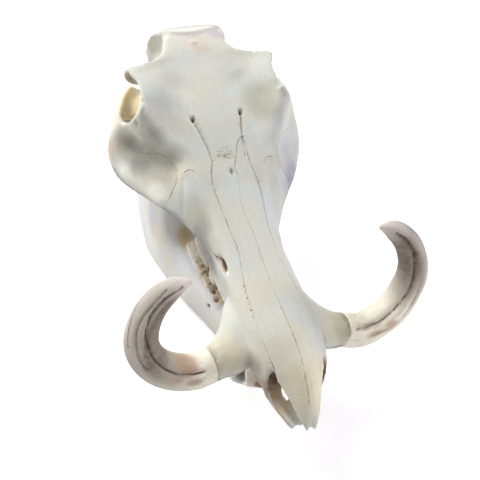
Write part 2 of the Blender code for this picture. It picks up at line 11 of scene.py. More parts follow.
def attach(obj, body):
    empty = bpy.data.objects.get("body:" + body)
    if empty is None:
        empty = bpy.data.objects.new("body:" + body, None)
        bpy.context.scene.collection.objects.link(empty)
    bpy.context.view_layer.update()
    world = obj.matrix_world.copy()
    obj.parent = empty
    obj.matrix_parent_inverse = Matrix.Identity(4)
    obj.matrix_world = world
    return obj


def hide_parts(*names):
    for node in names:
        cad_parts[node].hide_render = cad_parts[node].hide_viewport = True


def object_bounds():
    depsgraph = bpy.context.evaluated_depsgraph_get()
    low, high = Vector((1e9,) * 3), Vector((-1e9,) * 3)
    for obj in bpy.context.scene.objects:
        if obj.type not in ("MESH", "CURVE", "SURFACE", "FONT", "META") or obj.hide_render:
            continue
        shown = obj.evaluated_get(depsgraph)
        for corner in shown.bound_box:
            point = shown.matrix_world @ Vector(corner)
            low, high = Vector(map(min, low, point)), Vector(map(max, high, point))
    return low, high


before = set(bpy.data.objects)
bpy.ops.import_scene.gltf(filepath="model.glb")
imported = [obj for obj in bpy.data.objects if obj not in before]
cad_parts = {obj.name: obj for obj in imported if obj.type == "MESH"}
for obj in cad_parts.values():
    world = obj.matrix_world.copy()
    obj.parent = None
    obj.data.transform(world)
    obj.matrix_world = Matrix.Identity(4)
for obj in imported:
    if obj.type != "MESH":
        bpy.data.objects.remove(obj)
cadBox = [list(corner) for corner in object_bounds()]
mm = 0.001
# Seeded, so that each run gives the same wavers and molar columns
noise.seed_set(7)
print("frame loaded")

# Camera and light

view = {
    "turn": -26.0,
    "tilt": 48.0,
    "roll": 8.0,
    "distance": 638.0,
    "target": (3.5, 0.0, 107.0),
    "focalPixels": 628.0,
    "framePixels": 480.0,
    "sensor": 36.0,
    "clipStart": 0.01,
}


def placeAlong(obj, eye, target, roll=0.0):
    # The object's -Z looks from eye to target, rolled about that line
    back = (Vector(eye) - Vector(target)).normalized()
    right = Vector((0, 0, 1)).cross(back).normalized()
    up = back.cross(right)
    turn = math.radians(roll)
    across = right * math.cos(turn) + up * math.sin(turn)
    over = up * math.cos(turn) - right * math.sin(turn)
    matrix = Matrix((across, over, back)).transposed().to_4x4()
    matrix.translation = Vector(eye)
    obj.matrix_world = matrix


def addCamera():
    turn, tilt = math.radians(view["turn"]), math.radians(view["tilt"])
    back = Vector((math.sin(turn) * math.cos(tilt), -math.cos(turn) * math.cos(tilt), math.sin(tilt)))
    target = Vector(view["target"]) * mm
    data = bpy.data.cameras.new("camera")
    data.sensor_width = view["sensor"]
    data.lens = view["sensor"] * view["focalPixels"] / view["framePixels"]
    data.clip_start = view["clipStart"]
    camera = bpy.data.objects.new("camera", data)
    bpy.context.scene.collection.objects.link(camera)
    placeAlong(camera, target + back * view["distance"] * mm, target, view["roll"])
    bpy.context.scene.camera = camera


studio = {
    "key": {"eye": (-450, 700, 1190), "size": 800, "power": 16.5, "colour": (1.0, 0.99, 0.95)},
    "left": {"eye": (-1100, 580, 500), "size": 700, "power": 6.0, "colour": (1.0, 0.985, 0.94)},
    "right": {"eye": (1250, -60, 700), "size": 700, "power": 10.0, "colour": (0.92, 0.9, 1.0)},
    "front": {"eye": (380, -1150, 330), "size": 700, "power": 3.9, "colour": (1.0, 0.97, 0.92)},
    "aim": (0, 0, 110),
    "ambient": {"strength": 0.17, "colour": (0.93, 0.93, 1.0)},
    # The floor's size is in metres
    "floor": {"size": 12.0, "colour": (0.95, 0.95, 0.95), "roughness": 0.95, "specular": 0.1, "glow": 0.42},
}


def addLights():
    for name in ("key", "left", "right", "front"):
        values = studio[name]
        data = bpy.data.lights.new(name, "AREA")
        data.shape = "DISK"
        data.size = values["size"] * mm
        data.energy = values["power"]
        data.color = values["colour"]
        light = bpy.data.objects.new(name, data)
        bpy.context.scene.collection.objects.link(light)
        placeAlong(light, Vector(values["eye"]) * mm, Vector(studio["aim"]) * mm)
    world = bpy.data.worlds.new("studio")
    world.use_nodes = True
    background = world.node_tree.nodes["Background"]
    background.inputs["Color"].default_value = (*studio["ambient"]["colour"], 1.0)
    background.inputs["Strength"].default_value = studio["ambient"]["strength"]
    bpy.context.scene.world = world
    bpy.context.scene.view_settings.view_transform = "Standard"


def addFloor():
    values = studio["floor"]
    deselectAll()
    bpy.ops.mesh.primitive_plane_add(size=values["size"], location=(0, 0, 0))
    floor = bpy.context.object
    floor.name = "floor"
    material = bpy.data.materials.new("paleFloor")
    material.use_nodes = True
    shader = material.node_tree.nodes["Principled BSDF"]
    shader.inputs["Base Color"].default_value = (*values["colour"], 1.0)
    shader.inputs["Roughness"].default_value = values["roughness"]
    shader.inputs["Specular IOR Level"].default_value = values["specular"]
    # A faint glow that only the camera sees thins the shadows
    tree = material.node_tree
    seen = addNode(tree, "LightPath").outputs["Is Camera Ray"]
    tree.links.new(sums(tree, "MULTIPLY", seen, values["glow"]), shader.inputs["Emission Strength"])
    floor.data.materials.append(material)


# Helpers for shaping

shaping = {
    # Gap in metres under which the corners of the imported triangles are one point
    "weldGap": 0.00001,
    # A waving line: the scale and the share of its wide and of its fine waves
    "wideWave": (0.22, 1.0),
    "fineWave": (0.8, 0.7),
}


def deselectAll():
    if bpy.context.mode != "OBJECT":
        bpy.ops.object.mode_set(mode="OBJECT")
    bpy.ops.object.select_all(action="DESELECT")


def makeActive(obj):
    deselectAll()
    obj.select_set(True)
    bpy.context.view_layer.objects.active = obj


def addModifier(obj, kind, **settings):
    makeActive(obj)
    modifier = obj.modifiers.new(kind.title(), kind)
    for name, value in settings.items():
        setattr(modifier, name, value)
    bpy.ops.object.modifier_apply(modifier=modifier.name)


def voxelRemesh(piece, size):
    addModifier(piece, "REMESH", mode="VOXEL", voxel_size=size * mm, adaptivity=0.0)


def copyNode(node, name):
    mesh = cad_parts[node].data.copy()
    mesh.materials.clear()
    piece = bpy.data.objects.new(name, mesh)
    bpy.context.scene.collection.objects.link(piece)
    makeActive(piece)
    bpy.ops.object.mode_set(mode="EDIT")
    bpy.ops.mesh.select_all(action="SELECT")
    bpy.ops.mesh.remove_doubles(threshold=shaping["weldGap"])
    bpy.ops.object.mode_set(mode="OBJECT")
    return piece


def joinTo(piece, others):
    makeActive(piece)
    for other in others:
        other.select_set(True)
    bpy.ops.object.join()


def readPoints(piece):
    points = np.empty(len(piece.data.vertices) * 3)
    piece.data.vertices.foreach_get("co", points)
    return points.reshape(-1, 3) / mm


def writePoints(piece, points):
    piece.data.vertices.foreach_set("co", (points * mm).ravel())
    piece.data.update()


def readNormals(piece):
    normals = np.empty(len(piece.data.vertices) * 3)
    piece.data.vertices.foreach_get("normal", normals)
    return normals.reshape(-1, 3)


def roundOff(piece, cuts, smoothness):
    # Curved subdivision takes the facets off the solid
    makeActive(piece)
    bpy.ops.object.mode_set(mode="EDIT")
    bpy.ops.mesh.select_all(action="SELECT")
    bpy.ops.mesh.subdivide(number_cuts=cuts, smoothness=smoothness)
    bpy.ops.object.mode_set(mode="OBJECT")


def neighbours(piece):
    edges = np.empty(len(piece.data.edges) * 2, int)
    piece.data.edges.foreach_get("vertices", edges)
    a, b = edges.reshape(-1, 2).T
    size = len(piece.data.vertices)
    count = np.bincount(a, minlength=size) + np.bincount(b, minlength=size)

    def average(points):
        total = np.empty_like(points)
        for axis in range(3):
            total[:, axis] = np.bincount(a, points[b, axis], size) + np.bincount(b, points[a, axis], size)
        return total / count[:, None]

    return average


def relax(piece, rounds, shrink=0.5, grow=-0.53):
    # Two-step smoothing that keeps the volume
    points, average = readPoints(piece), neighbours(piece)
    for step in range(rounds * 2):
        points += (grow if step % 2 else shrink) * (average(points) - points)
    writePoints(piece, points)


def fillHollow(piece, spot, rounds):
    # Raises the creases inside a spot and leaves its outer edges where they are
    points, average = readPoints(piece), neighbours(piece)
    weight = inSpot(points, *spot)[:, None]
    for _ in range(rounds):
        writePoints(piece, points)
        normals = readNormals(piece)
        rise = ((average(points) - points) * normals).sum(1, keepdims=True)
        points += normals * np.maximum(rise, 0) * weight
    writePoints(piece, points)


def levelOff(piece, low, high, floorLevel, topLevel):
    # Inside the box from low to high, no point stays below one level or above the other
    points = readPoints(piece)
    inside = ((points > low) & (points < high)).all(1)
    points[inside, 2] = np.clip(points[inside, 2], floorLevel, topLevel)
    writePoints(piece, points)


def inSpot(points, centre, radii):
    # 1 in the middle of an ellipsoid, falling smoothly to 0 outside it
    gap = (((points - np.array(centre)) / np.array(radii)) ** 2).sum(1)
    return np.exp(-gap * gap)


def mirrored(line):
    return tuple((-x, y, z) for x, y, z in line)


def flips(sides):
    # What is given for one side and counts for both comes as it is, and then mirrored
    return [np.array((side, 1, 1)) for side in ((1, -1) if sides == "both" else (1,))]


def drawn(line, step=2.5, waver=0.0):
    # A smooth line through the points, with a small natural waver
    line = np.array(line, float)
    spans = np.linalg.norm(np.diff(line, axis=0), axis=1)
    starts = np.r_[0, np.cumsum(spans)]
    places = np.linspace(0, starts[-1], max(2, int(starts[-1] / step) + 1))
    out = np.stack([np.interp(places, starts, line[:, axis]) for axis in range(3)], axis=1)
    for _ in range(2):
        out[1:-1] = (out[:-2] + 2 * out[1:-1] + out[2:]) / 4
    if waver:
        wide, fine = (
            share * np.array([noise.noise_vector(Vector(point) * scale) for point in out])
            for scale, share in (shaping["wideWave"], shaping["fineWave"])
        )
        out += waver * (wide + fine)
    return out


def distanceTo(points, line, reach):
    # Distance from each point to the line, and how far along it (0 to 1) the nearest place is
    gap = np.full(len(points), 1e6)
    share = np.zeros(len(points))
    near = np.flatnonzero(((points > line.min(0) - reach) & (points < line.max(0) + reach)).all(1))
    spans = np.linalg.norm(np.diff(line, axis=0), axis=1)
    starts = np.r_[0, np.cumsum(spans)]
    for i, (a, b) in enumerate(zip(line[:-1], line[1:])):
        low, high = np.minimum(a, b) - reach, np.maximum(a, b) + reach
        some = near[((points[near] > low) & (points[near] < high)).all(1)]
        span = b - a
        t = np.clip((points[some] - a) @ span / (span @ span), 0, 1)
        far = np.linalg.norm(points[some] - a - t[:, None] * span, axis=1)
        closer = far < gap[some]
        gap[some[closer]] = far[closer]
        share[some[closer]] = (starts[i] + t[closer] * spans[i]) / starts[-1]
    return gap, share


def refine(piece, lines, reach):
    # Splits the faces along the lines, so that fine details have a mesh to live in
    points = readPoints(piece)
    near = np.zeros(len(points), bool)
    for line in lines:
        near |= distanceTo(points, line, reach)[0] < reach
    data = piece.data
    corners = np.empty(len(data.loops), int)
    data.loops.foreach_get("vertex_index", corners)
    starts = np.empty(len(data.polygons), int)
    data.polygons.foreach_get("loop_start", starts)
    chosen = np.logical_or.reduceat(near[corners], starts)
    makeActive(piece)
    data.vertices.foreach_set("select", np.zeros(len(data.vertices), bool))
    data.edges.foreach_set("select", np.zeros(len(data.edges), bool))
    data.polygons.foreach_set("select", chosen)
    bpy.context.tool_settings.mesh_select_mode = (False, False, True)
    bpy.ops.object.mode_set(mode="EDIT")
    bpy.ops.mesh.subdivide(number_cuts=1)
    bpy.ops.object.mode_set(mode="OBJECT")


# Surface work: every step reads the same points and adds to the shift and the masks


def openSurface(piece):
    points = readPoints(piece)
    blank = np.zeros(len(points))
    return {
        "piece": piece,
        "points": points,
        "normals": readNormals(piece),
        "rest": points,
        "shift": blank.copy(),
        "seam": blank.copy(),
        "crumb": blank.copy(),
        "paint": np.zeros((len(points), 4)),
    }


# The profile of a groove, with distances in groove widths, and the noise that breaks it up
groove = {
    "reach": 4.5,
    "farthest": 9,
    "lipPlace": 2.0,
    "darkWidth": 0.8,
    "even": 0.78,
    # Share and scale of the noise
    "wideBreaks": (0.8, 0.13),
    "fineBreaks": (0.5, 0.7),
    # Breaks are weaker in the cut than in its darkness: lift, then the least of each
    "lift": 0.2,
    "leastCut": 0.5,
    "leastDark": 0.2,
}


def carve(surface, line, width, depth, dark, lip=0.15):
    # width, depth and dark are each (at the start, at the end)
    reach = groove["reach"] * max(width)
    gap, share = distanceTo(surface["points"], line, reach)
    width, depth, dark = (np.interp(share, (0, 1), ends) for ends in (width, depth, dark))
    across = np.minimum(gap / width, groove["farthest"])
    cut = np.exp(-across**2)
    ridge = np.exp(-((across - groove["lipPlace"]) ** 2))
    (wide, wideScale), (fine, fineScale) = groove["wideBreaks"], groove["fineBreaks"]
    broken = np.ones(len(gap))
    for i in np.flatnonzero(gap < reach):
        place = Vector(surface["points"][i])
        rough = groove["even"] + wide * noise.noise(place * wideScale)
        broken[i] = rough + fine * noise.noise(place * fineScale)
    surface["shift"] -= depth * (cut - lip * ridge) * np.clip(broken + groove["lift"], groove["leastCut"], 1)
    shadow = dark * np.clip(broken, groove["leastDark"], 1) * np.exp(-((across / groove["darkWidth"]) ** 2))
    surface["seam"] = np.maximum(surface["seam"], shadow)


def sink(surface, centre, radii, depth, dark):
    # The painted shade keeps closer to the middle than the hollow
    inside = inSpot(surface["points"], centre, radii)
    surface["shift"] -= depth * inside
    surface["seam"] = np.maximum(surface["seam"], dark * inside**1.5)


def swell(surface, centre, radii, height):
    surface["shift"] += height * inSpot(surface["points"], centre, radii)


# Crumbly bone: the least weight that counts, then the settings of its fractal noise
rubble = {"leastWeight": 0.02, "smoothing": 0.8, "stepScale": 2.0, "steps": 3}


def crumble(surface, weight, height, size):
    chosen = np.flatnonzero(weight > rubble["leastWeight"])
    settings = (rubble["smoothing"], rubble["stepScale"], rubble["steps"])
    rough = np.array([noise.fractal(Vector(point) / size, *settings) for point in surface["points"][chosen]])
    surface["shift"][chosen] += height * rough * weight[chosen]
    surface["crumb"] = np.maximum(surface["crumb"], weight)


def along(surface, line, reach):
    gap, _ = distanceTo(surface["points"], line, 3 * reach)
    return np.exp(-((gap / reach) ** 2))


def tint(surface, weight, colour, strength):
    # Colour is given as it looks on a screen, 0 to 255, and 2.2 is the screen's gamma
    linear = (np.array(colour) / 255) ** 2.2
    paint = surface["paint"]
    cover = np.clip(weight * strength, 0, 1)
    total = cover + paint[:, 3] * (1 - cover)
    safe = np.maximum(total, 1e-6)
    old = (paint[:, 3] * (1 - cover) / safe)[:, None]
    paint[:, :3] = linear * (cover / safe)[:, None] + paint[:, :3] * old
    paint[:, 3] = total


def facing(surface, direction):
    direction = np.array(direction, float) / np.linalg.norm(direction)
    return np.clip(surface["normals"] @ direction, 0, 1)


def closeSurface(surface):
    piece = surface["piece"]
    points = surface["points"] + surface["normals"] * surface["shift"][:, None]
    low, high = np.array(cadBox) / mm
    writePoints(piece, np.clip(points, low, high))
    addMask(piece, "seam", surface["seam"])
    addMask(piece, "crumb", surface["crumb"])
    addMask(piece, "hollow", findHollows(surface["rest"], surface["normals"]))
    colours = piece.data.attributes.new("paint", "FLOAT_COLOR", "POINT")
    colours.data.foreach_set("color", surface["paint"].ravel())
    addMask(piece, "cover", surface["paint"][:, 3])
    piece.data.shade_smooth()
    print(piece.name + ":", len(piece.data.polygons), "faces")


def addMask(piece, name, values):
    mask = piece.data.attributes.new(name, "FLOAT", "POINT")
    mask.data.foreach_set("value", np.ascontiguousarray(values, float))


shade = {
    "cell": 2.0,
    "margin": 24.0,
    # Blur in cells and distance from the surface, for narrow and for wide hollows
    "blurs": ((4, 5.0), (8, 12.0)),
    # How full the surroundings are on a flat, and how much fuller in the deepest hollow
    "flat": 0.08,
    "span": 0.5,
    # The rays start a little beside the cells' middles, and go on just past each face they hit
    "aside": (0.013, 0.017),
    "past": 0.01,
}


def fillSolids():
    # A grid of cells, 1 inside the bone and 0 outside it
    corners, faces = [], []
    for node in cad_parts.values():
        start = len(corners)
        corners += [vertex.co / mm for vertex in node.data.vertices]
        faces += [[start + index for index in face.vertices] for face in node.data.polygons]
    tree = BVHTree.FromPolygons(corners, faces)
    low = np.array(cadBox[0]) / mm - shade["margin"]
    counts = ((np.array(cadBox[1]) / mm + shade["margin"] - low) / shade["cell"]).astype(int) + 1
    grid = np.zeros(counts, np.float32)
    up = Vector((0, 0, 1))
    asideX, asideY = shade["aside"]
    for i in range(counts[0]):
        for j in range(counts[1]):
            x, y = low[0] + i * shade["cell"] + asideX, low[1] + j * shade["cell"] + asideY
            start = Vector((x, y, low[2]))
            heights = []
            hit = tree.ray_cast(start, up)[0]
            while hit is not None:
                heights.append(hit.z)
                hit = tree.ray_cast(hit + up * shade["past"], up)[0]
            for bottom, top in zip(heights[::2], heights[1::2]):
                first, last = ((np.array((bottom, top)) - low[2]) / shade["cell"]).round().astype(int)
                grid[i, j, first:last] = 1.0
    print("solids filled:", int(grid.sum()), "cells")
    return grid, low


def blur(grid, width):
    # Three box blurs along each axis come close to a soft round one
    for axis in (0, 1, 2) * 3:
        total = np.cumsum(grid, axis=axis)
        ahead = np.roll(total, -(width // 2), axis)
        behind = np.roll(total, width - width // 2, axis)
        grid = (ahead - behind) / width
    return np.clip(grid, 0, 1)


def sample(grid, low, points):
    # The value between the eight cells around each point, which stays just inside the last cell
    place = np.clip((points - low) / shade["cell"], 0, np.array(grid.shape) - 1.001)
    cell = place.astype(int)
    part = place - cell
    out = np.zeros(len(points))
    for i in (0, 1):
        for j in (0, 1):
            for k in (0, 1):
                share = np.abs(1 - i - part[:, 0]) * np.abs(1 - j - part[:, 1]) * np.abs(1 - k - part[:, 2])
                out += share * grid[cell[:, 0] + i, cell[:, 1] + j, cell[:, 2] + k]
    return out


def findHollows(points, normals):
    # How much of the space before each point bone takes up: 0 on a flat or a bump, near 1 deep in a hollow
    out = np.zeros(len(points))
    for fog, (width, lift) in zip(fogs, shade["blurs"]):
        around = sample(fog, fogStart, points + normals * lift)
        out = np.maximum(out, np.clip((around - shade["flat"]) / shade["span"], 0, 1))
    return out


solids, fogStart = fillSolids()
fogs = [blur(solids, width) for width, lift in shade["blurs"]]


# Bone

cranium = {
    "cuts": 2,
    "smoothness": 0.9,
    "voxel": 2.1,
    "rounds": 4,
    # Seams darker than this get a finer mesh in a wide band, and finer again in a narrow one
    "fineDark": 0.3,
    "wideBand": 3.0,
    "narrowBand": 1.5,
    # Waver of the seams, and the spacing of their points and of the forms' points
    "waver": 0.35,
    "lineStep": 1.2,
    "formStep": 4.0,
    # Large soft forms, pressed into the right side and by leftShare of that into the left
    "forms": (
        {
            "line": ((-85, 86, 188), (-78, 74, 182), (-68, 60, 180), (-56, 49, 182)),
            "reach": 23.0, "depth": 10.0, "way": (0.3, 0.63, -0.71), "leftShare": 0.5,
        },
        {
            "line": ((-86, 87, 179), (-79, 76, 175), (-72, 66, 173), (-64, 57, 175), (-57, 50, 178)),
            "reach": 13.5, "depth": 7.5, "way": (0.4, 0.7, -0.6), "leftShare": 0.25,
        },
        {
            "line": ((-93, 78, 150), (-86, 62, 148), (-78, 48, 146), (-70, 37, 146)),
            "reach": 6.0, "depth": 2.0, "way": (-0.4, -0.3, 0.87), "leftShare": 1.0,
        },
        {
            "line": ((-43, 34, 171), (-38, 22, 167), (-36, 5, 156), (-34, -12, 144)),
            "reach": 6.5, "depth": 2.2, "way": (0.4, 0.5, -0.75), "leftShare": 0.6,
        },
        {
            "line": ((-36, 112, 218), (-46, 92, 210), (-50, 72, 201)),
            "reach": 17.0, "depth": 6.5, "way": (0.0, 0.63, -0.77), "leftShare": 0.9,
        },
    ),
    # The palate between the molars: a box from low to high, and the levels it keeps within
    "palate": ((-34, -26, 58), (34, 48, 72), 66.3, 72),
    # Hollows filled smooth: middle, radii and rounds, for the arch's inner side and the cheek
    "filled": (((-74, 140, 187), (15, 26, 15), 40), ((-31, -34, 127), (8, 20, 12), 80)),
    "rimLip": (
        (-70.1, 101.8, 222.7), (-71.1, 96.5, 221.4), (-72.9, 92.7, 219), (-75.2, 90.7, 215.7),
        (-78.3, 90.7, 211.3), (-81.5, 91, 206.7), (-84.7, 92, 202), (-88.2, 96, 196.8),
        (-90.2, 102, 193.6), (-90.4, 111, 192.8), (-89.8, 118.8, 193.2),
    ),
    "rimFiller": (
        (-70.6, 92.5, 220), (-72, 88.5, 217.5), (-74.5, 87, 214), (-77.5, 87, 210), (-80.5, 88, 205.5),
    ),
    # Radius and waver of the cords along the lip and the filler
    "lipCord": (1.7, 0.9),
    "fillerCord": (3.4, 0.3),
    # Reach, height and grain of the crumbling lip, then the reach, colour and strength of its pale tint
    "lipCrumble": (3.0, 0.9, 1.6),
    "lipTint": (2.0, (255, 253, 246), 0.8),
    # The nostril's outer wall is thinned: middle, radii, depth, the way it faces, and how soon that counts
    "nostrilWall": ((-24, -158, 88), (10, 17, 17), 4.2, (1, 0, 0.35), 1.6),
    # How soon a face that turns the right way takes its full paint
    "facingGain": 2.5,
    # Reach, colour and strength of the shade along the arch's lower edge
    "archTint": (2.6, (120, 120, 132), 0.75),
    "archEdge": (
        (-101.5, 92, 146.5), (-98, 80, 141.8), (-92.5, 68, 140), (-85, 56, 139.6), (-77.5, 44.5, 139.8),
        (-70.6, 34, 140.4), (-66.6, 28.9, 140.7), (-62.8, 24, 140.5), (-59, 19.4, 139.8),
        (-56.1, 15, 137.6), (-53, 10.8, 135.1), (-49.8, 7.1, 132.1), (-46.8, 3, 129.3),
        (-44.4, -2.3, 127.9), (-41.7, -6.8, 125.5),
    ),
}

# Each seam: width and depth at its start and end, darkness, and its line
seams = {
    "midNasal": {
        "width": (0.4, 0.55), "depth": (0.3, 1.0), "dark": (0.3, 0.8),
        "line": (
            (4.8, 28.4, 172.8), (2.6, 15.5, 166.3), (0, 2.1, 160.7), (-0.3, -11.3, 155.7),
            (1.7, -24.7, 151.4), (1.6, -38.4, 147.2), (1.2, -52.4, 143.8), (0.9, -66.4, 140.9),
            (0.7, -80.8, 139.3), (0.4, -95.1, 138), (0.1, -109, 136.9), (-0.4, -123.1, 136.7),
            (-0.5, -136, 135.3), (-0.8, -147.8, 132), (-1.3, -158.9, 127.8), (-1.6, -168.7, 121.3),
            (-1.5, -177.5, 112.9), (-1.7, -185.5, 102.7),
        ),
    },
    "rightNasal": {
        "width": (0.65, 0.45), "depth": (0.8, 0.4), "dark": (0.6, 0.45),
        "line": (
            (-16.9, 41.8, 180.4), (-20.4, 33.5, 175.8), (-21.9, 24.9, 170.9), (-22.2, 16.3, 166.2),
            (-21.1, 7.6, 161.9), (-20.1, -1.3, 157.9), (-19.2, -10.3, 154.1), (-18.5, -19.7, 150.8),
            (-17.8, -29.2, 147.9), (-17, -38.7, 145.2), (-17.7, -48.1, 142.4), (-19.5, -57.5, 139.8),
            (-21.2, -66.8, 137), (-22.4, -76.4, 135.1), (-23, -86.2, 133.7), (-23.6, -95.9, 132.4),
            (-24.2, -105.3, 131), (-24.5, -114.4, 129.4), (-24.8, -123.2, 127.5),
        ),
    },
    "leftNasal": {
        "width": (0.6, 0.45), "depth": (0.8, 0.4), "dark": (0.6, 0.5),
        "line": (
            (20.6, 60, 191.1), (20.2, 50.8, 185.9), (19.9, 41.7, 180.7), (20.5, 32.7, 175.5),
            (22.4, 24, 170.6), (23.3, 15.2, 165.4), (23, 5.9, 160.6), (22, -3.6, 156.2),
            (20.7, -13.6, 152.5), (19.2, -23.7, 149.1), (19.2, -33.7, 145.9), (19, -43.8, 143.1),
            (19.5, -57.5, 139.8), (21.2, -66.8, 137), (22.4, -76.4, 135.1), (23.6, -95.9, 132.4),
            (24.5, -114.4, 129.4), (24.8, -123.2, 127.5),
        ),
    },
    "leftTongue": {
        "width": (0.7, 0.6), "depth": (0.9, 0.7), "dark": (0.45, 0.45),
        "line": (
            (20.6, 60, 191.1), (15.9, 57.9, 189.6), (12.4, 54.4, 187.3), (10.6, 50.2, 184.8),
            (9.5, 45.6, 182.3), (7.3, 41.3, 179.8), (5, 37, 177.5), (3.3, 32.6, 175), (4.8, 28.4, 172.8),
        ),
    },
    "rightFront": {
        "width": (0.7, 0.7), "depth": (0.5, 0.5), "dark": (0.15, 0.15),
        "line": (
            (-16.9, 41.8, 180.4), (-12, 43.7, 181.3), (-7.1, 45.7, 182.3), (-2, 46.7, 182.7),
            (2.6, 46.2, 182.4), (5.8, 42.8, 180.6),
        ),
    },
}

# Seams and grooves that both sides have, given for the right side
pairedSeams = {
    "browGroove": {
        "width": (2.0, 1.0), "depth": (2.4, 0.8), "dark": (0.32, 0.3),
        "line": (
            (-24.2, 79, 202), (-22.6, 72.7, 198.5), (-21.2, 66.6, 194.8), (-19.8, 60.5, 191.3),
            (-18.4, 54.3, 187.7), (-17.3, 48.1, 184.1), (-16.9, 41.8, 180.4),
        ),
    },
    "cheek": {
        "width": (0.6, 0.65), "depth": (0.5, 0.6), "dark": (0.42, 0.42),
        "line": (
            (-82.1, 77.9, 176.2), (-77.3, 71.1, 178.2), (-72.3, 65.6, 182.7), (-67.2, 60.3, 186.9),
            (-62.4, 55.2, 187.2), (-58.8, 50.3, 184.7), (-55.7, 45.4, 181.8), (-53.6, 40.6, 178.1),
            (-53.9, 36.7, 173), (-56, 34.8, 166.6), (-58.5, 33.1, 160.1), (-61.3, 31.5, 153.6),
            (-64.1, 29.7, 147.2), (-67.6, 29.8, 139.7),
        ),
    },
    "tearArc": {
        "width": (0.8, 0.8), "depth": (0.4, 0.4), "dark": (0.4, 0.4),
        "line": (
            (-46.4, 37.6, 177.8), (-43, 38.7, 178.7), (-39.6, 38.1, 178.7), (-36.9, 36.4, 177.8),
            (-35.1, 33.9, 176),
        ),
    },
    "cheekGroove": {
        "width": (2.2, 2.6), "depth": (0.7, 0.4), "dark": (0.1, 0.1),
        "line": (
            (-49.7, 32.8, 172.6), (-49.9, 29, 167.9), (-50.7, 25.8, 162.7), (-51.7, 22.9, 157.2),
            (-52.5, 19.9, 151.7), (-53.3, 16.7, 146.2),
        ),
    },
    "premaxilla": {
        "width": (0.5, 0.9), "depth": (0.5, 1.0), "dark": (0.5, 0.75),
        "line": (
            (-24.8, -123.2, 127.5), (-24.5, -131.6, 126), (-24, -138.4, 123.5), (-23.6, -145.1, 121),
            (-22.9, -150.9, 118.7), (-22.4, -156, 115),
        ),
    },
    # The canal's darkness is painted shade
    "cheekHole": {
        "width": (2.9, 1.3), "depth": (0.8, 0.8), "dark": (0.6, 0.9),
        "line": (
            (-31.8, -35.5, 131.8), (-31.5, -39, 131.4), (-31.2, -43, 130.8), (-31, -47.5, 129.9),
            (-31, -51, 129.6),
        ),
    },
}

# Holes and pits: middle, radii, depth, and the darkness of the painted shade inside; then the small knob at
# the crest: middle, radii, height
pits = (
    ((-31.2, -42.0, 128.8), (4.6, 9.0, 4.8), 2.4, 1.8),
    ((31.2, -42.0, 128.8), (4.6, 9.0, 4.8), 2.4, 1.8),
    ((-80.5, 84.9, 206.3), (2.2, 3.4, 3.6), 1.8, 0.25),
    ((-25.0, 81.5, 203.3), (2.0, 3.0, 2.6), 4.5, 1.0),
    ((24.7, 82.3, 203.6), (2.0, 3.2, 2.6), 4.5, 1.0),
    ((-0.3, 30.7, 174.0), (1.6, 4.0, 2.6), 2.2, 0.45),
    ((-3.0, 45.5, 182.2), (1.0, 1.0, 1.0), 1.2, 0.8),
    ((-0.5, 43.0, 181.0), (0.9, 1.4, 1.0), 1.0, 0.6),
    ((-5.8, 42.5, 180.8), (0.8, 1.1, 0.9), 0.9, 0.55),
    ((-9.2, 46.5, 182.9), (0.8, 0.8, 0.8), 0.8, 0.5),
    ((-8.5, 55.5, 188.0), (0.9, 0.9, 0.9), 0.8, 0.45),
    ((-6.0, 57.5, 189.0), (0.8, 0.8, 0.8), 0.8, 0.45),
    ((2.5, 49.5, 184.5), (0.9, 0.9, 0.9), 0.8, 0.5),
    ((1.2, 53.5, 186.8), (0.8, 0.8, 0.8), 0.8, 0.4),
    ((19.5, 70.5, 197.0), (0.8, 2.2, 1.4), 0.6, 0.3),
    ((-22.9, -76.0, 134.6), (0.8, 1.3, 0.8), 0.9, 0.5),
    ((-24.0, -82.0, 133.7), (0.8, 0.9, 0.8), 0.8, 0.45),
    ((-24.1, -88.0, 132.9), (0.9, 1.2, 0.9), 0.9, 0.5),
    ((-25.0, -94.0, 131.7), (0.7, 0.8, 0.7), 0.7, 0.4),
    ((-24.9, -100.0, 131.1), (0.8, 1.2, 0.8), 0.9, 0.5),
    ((-25.4, -106.5, 129.9), (0.7, 0.9, 0.7), 0.7, 0.4),
)
knob = ((-1.5, 161.3, 235.4), (3.2, 3.0, 3.0), 2.0)


def moulded(points):
    # Where the large soft forms take each point, so that seams and pits go with the surface
    points = np.array(points, float)
    out = points.copy()
    for form in cranium["forms"]:
        way = np.array(form["way"]) / np.linalg.norm(form["way"])
        for flip, share in ((1, 1), (-1, form["leftShare"])):
            guide = drawn(np.array(form["line"]) * (flip, 1, 1), step=cranium["formStep"])
            gap = distanceTo(points, guide, 3 * form["reach"])[0]
            rise = form["depth"] * share
            out += np.exp(-((gap / form["reach"]) ** 2))[:, None] * rise * way * (flip, 1, 1)
    return out


def seamLines():
    lines = [(values, values["line"]) for values in seams.values()]
    for values in pairedSeams.values():
        lines += [(values, values["line"]), (values, mirrored(values["line"]))]
    step, waver = cranium["lineStep"], cranium["waver"]
    return [(values, moulded(drawn(line, step=step, waver=waver))) for values, line in lines]


# Spacing of a cord's points, and the scale and share of its swings in radius
cordShape = {"step": 1.6, "swingScale": 0.45, "swing": 0.4}


def addCord(line, radius, waver):
    # A crinkled cord of bone, fused in by the remesh
    path = drawn(line, step=cordShape["step"], waver=waver)
    data = bpy.data.curves.new("cord", "CURVE")
    data.dimensions = "3D"
    data.bevel_depth = mm
    data.bevel_resolution = 3
    data.use_fill_caps = True
    spline = data.splines.new("POLY")
    spline.points.add(len(path) - 1)
    for point, place in zip(spline.points, path):
        swing = noise.noise(Vector(place) * cordShape["swingScale"])
        point.co = (*(place * mm), 1)
        point.radius = radius * (1 + cordShape["swing"] * swing)
    cord = bpy.data.objects.new("cord", data)
    bpy.context.scene.collection.objects.link(cord)
    makeActive(cord)
    bpy.ops.object.convert(target="MESH")
    return cord


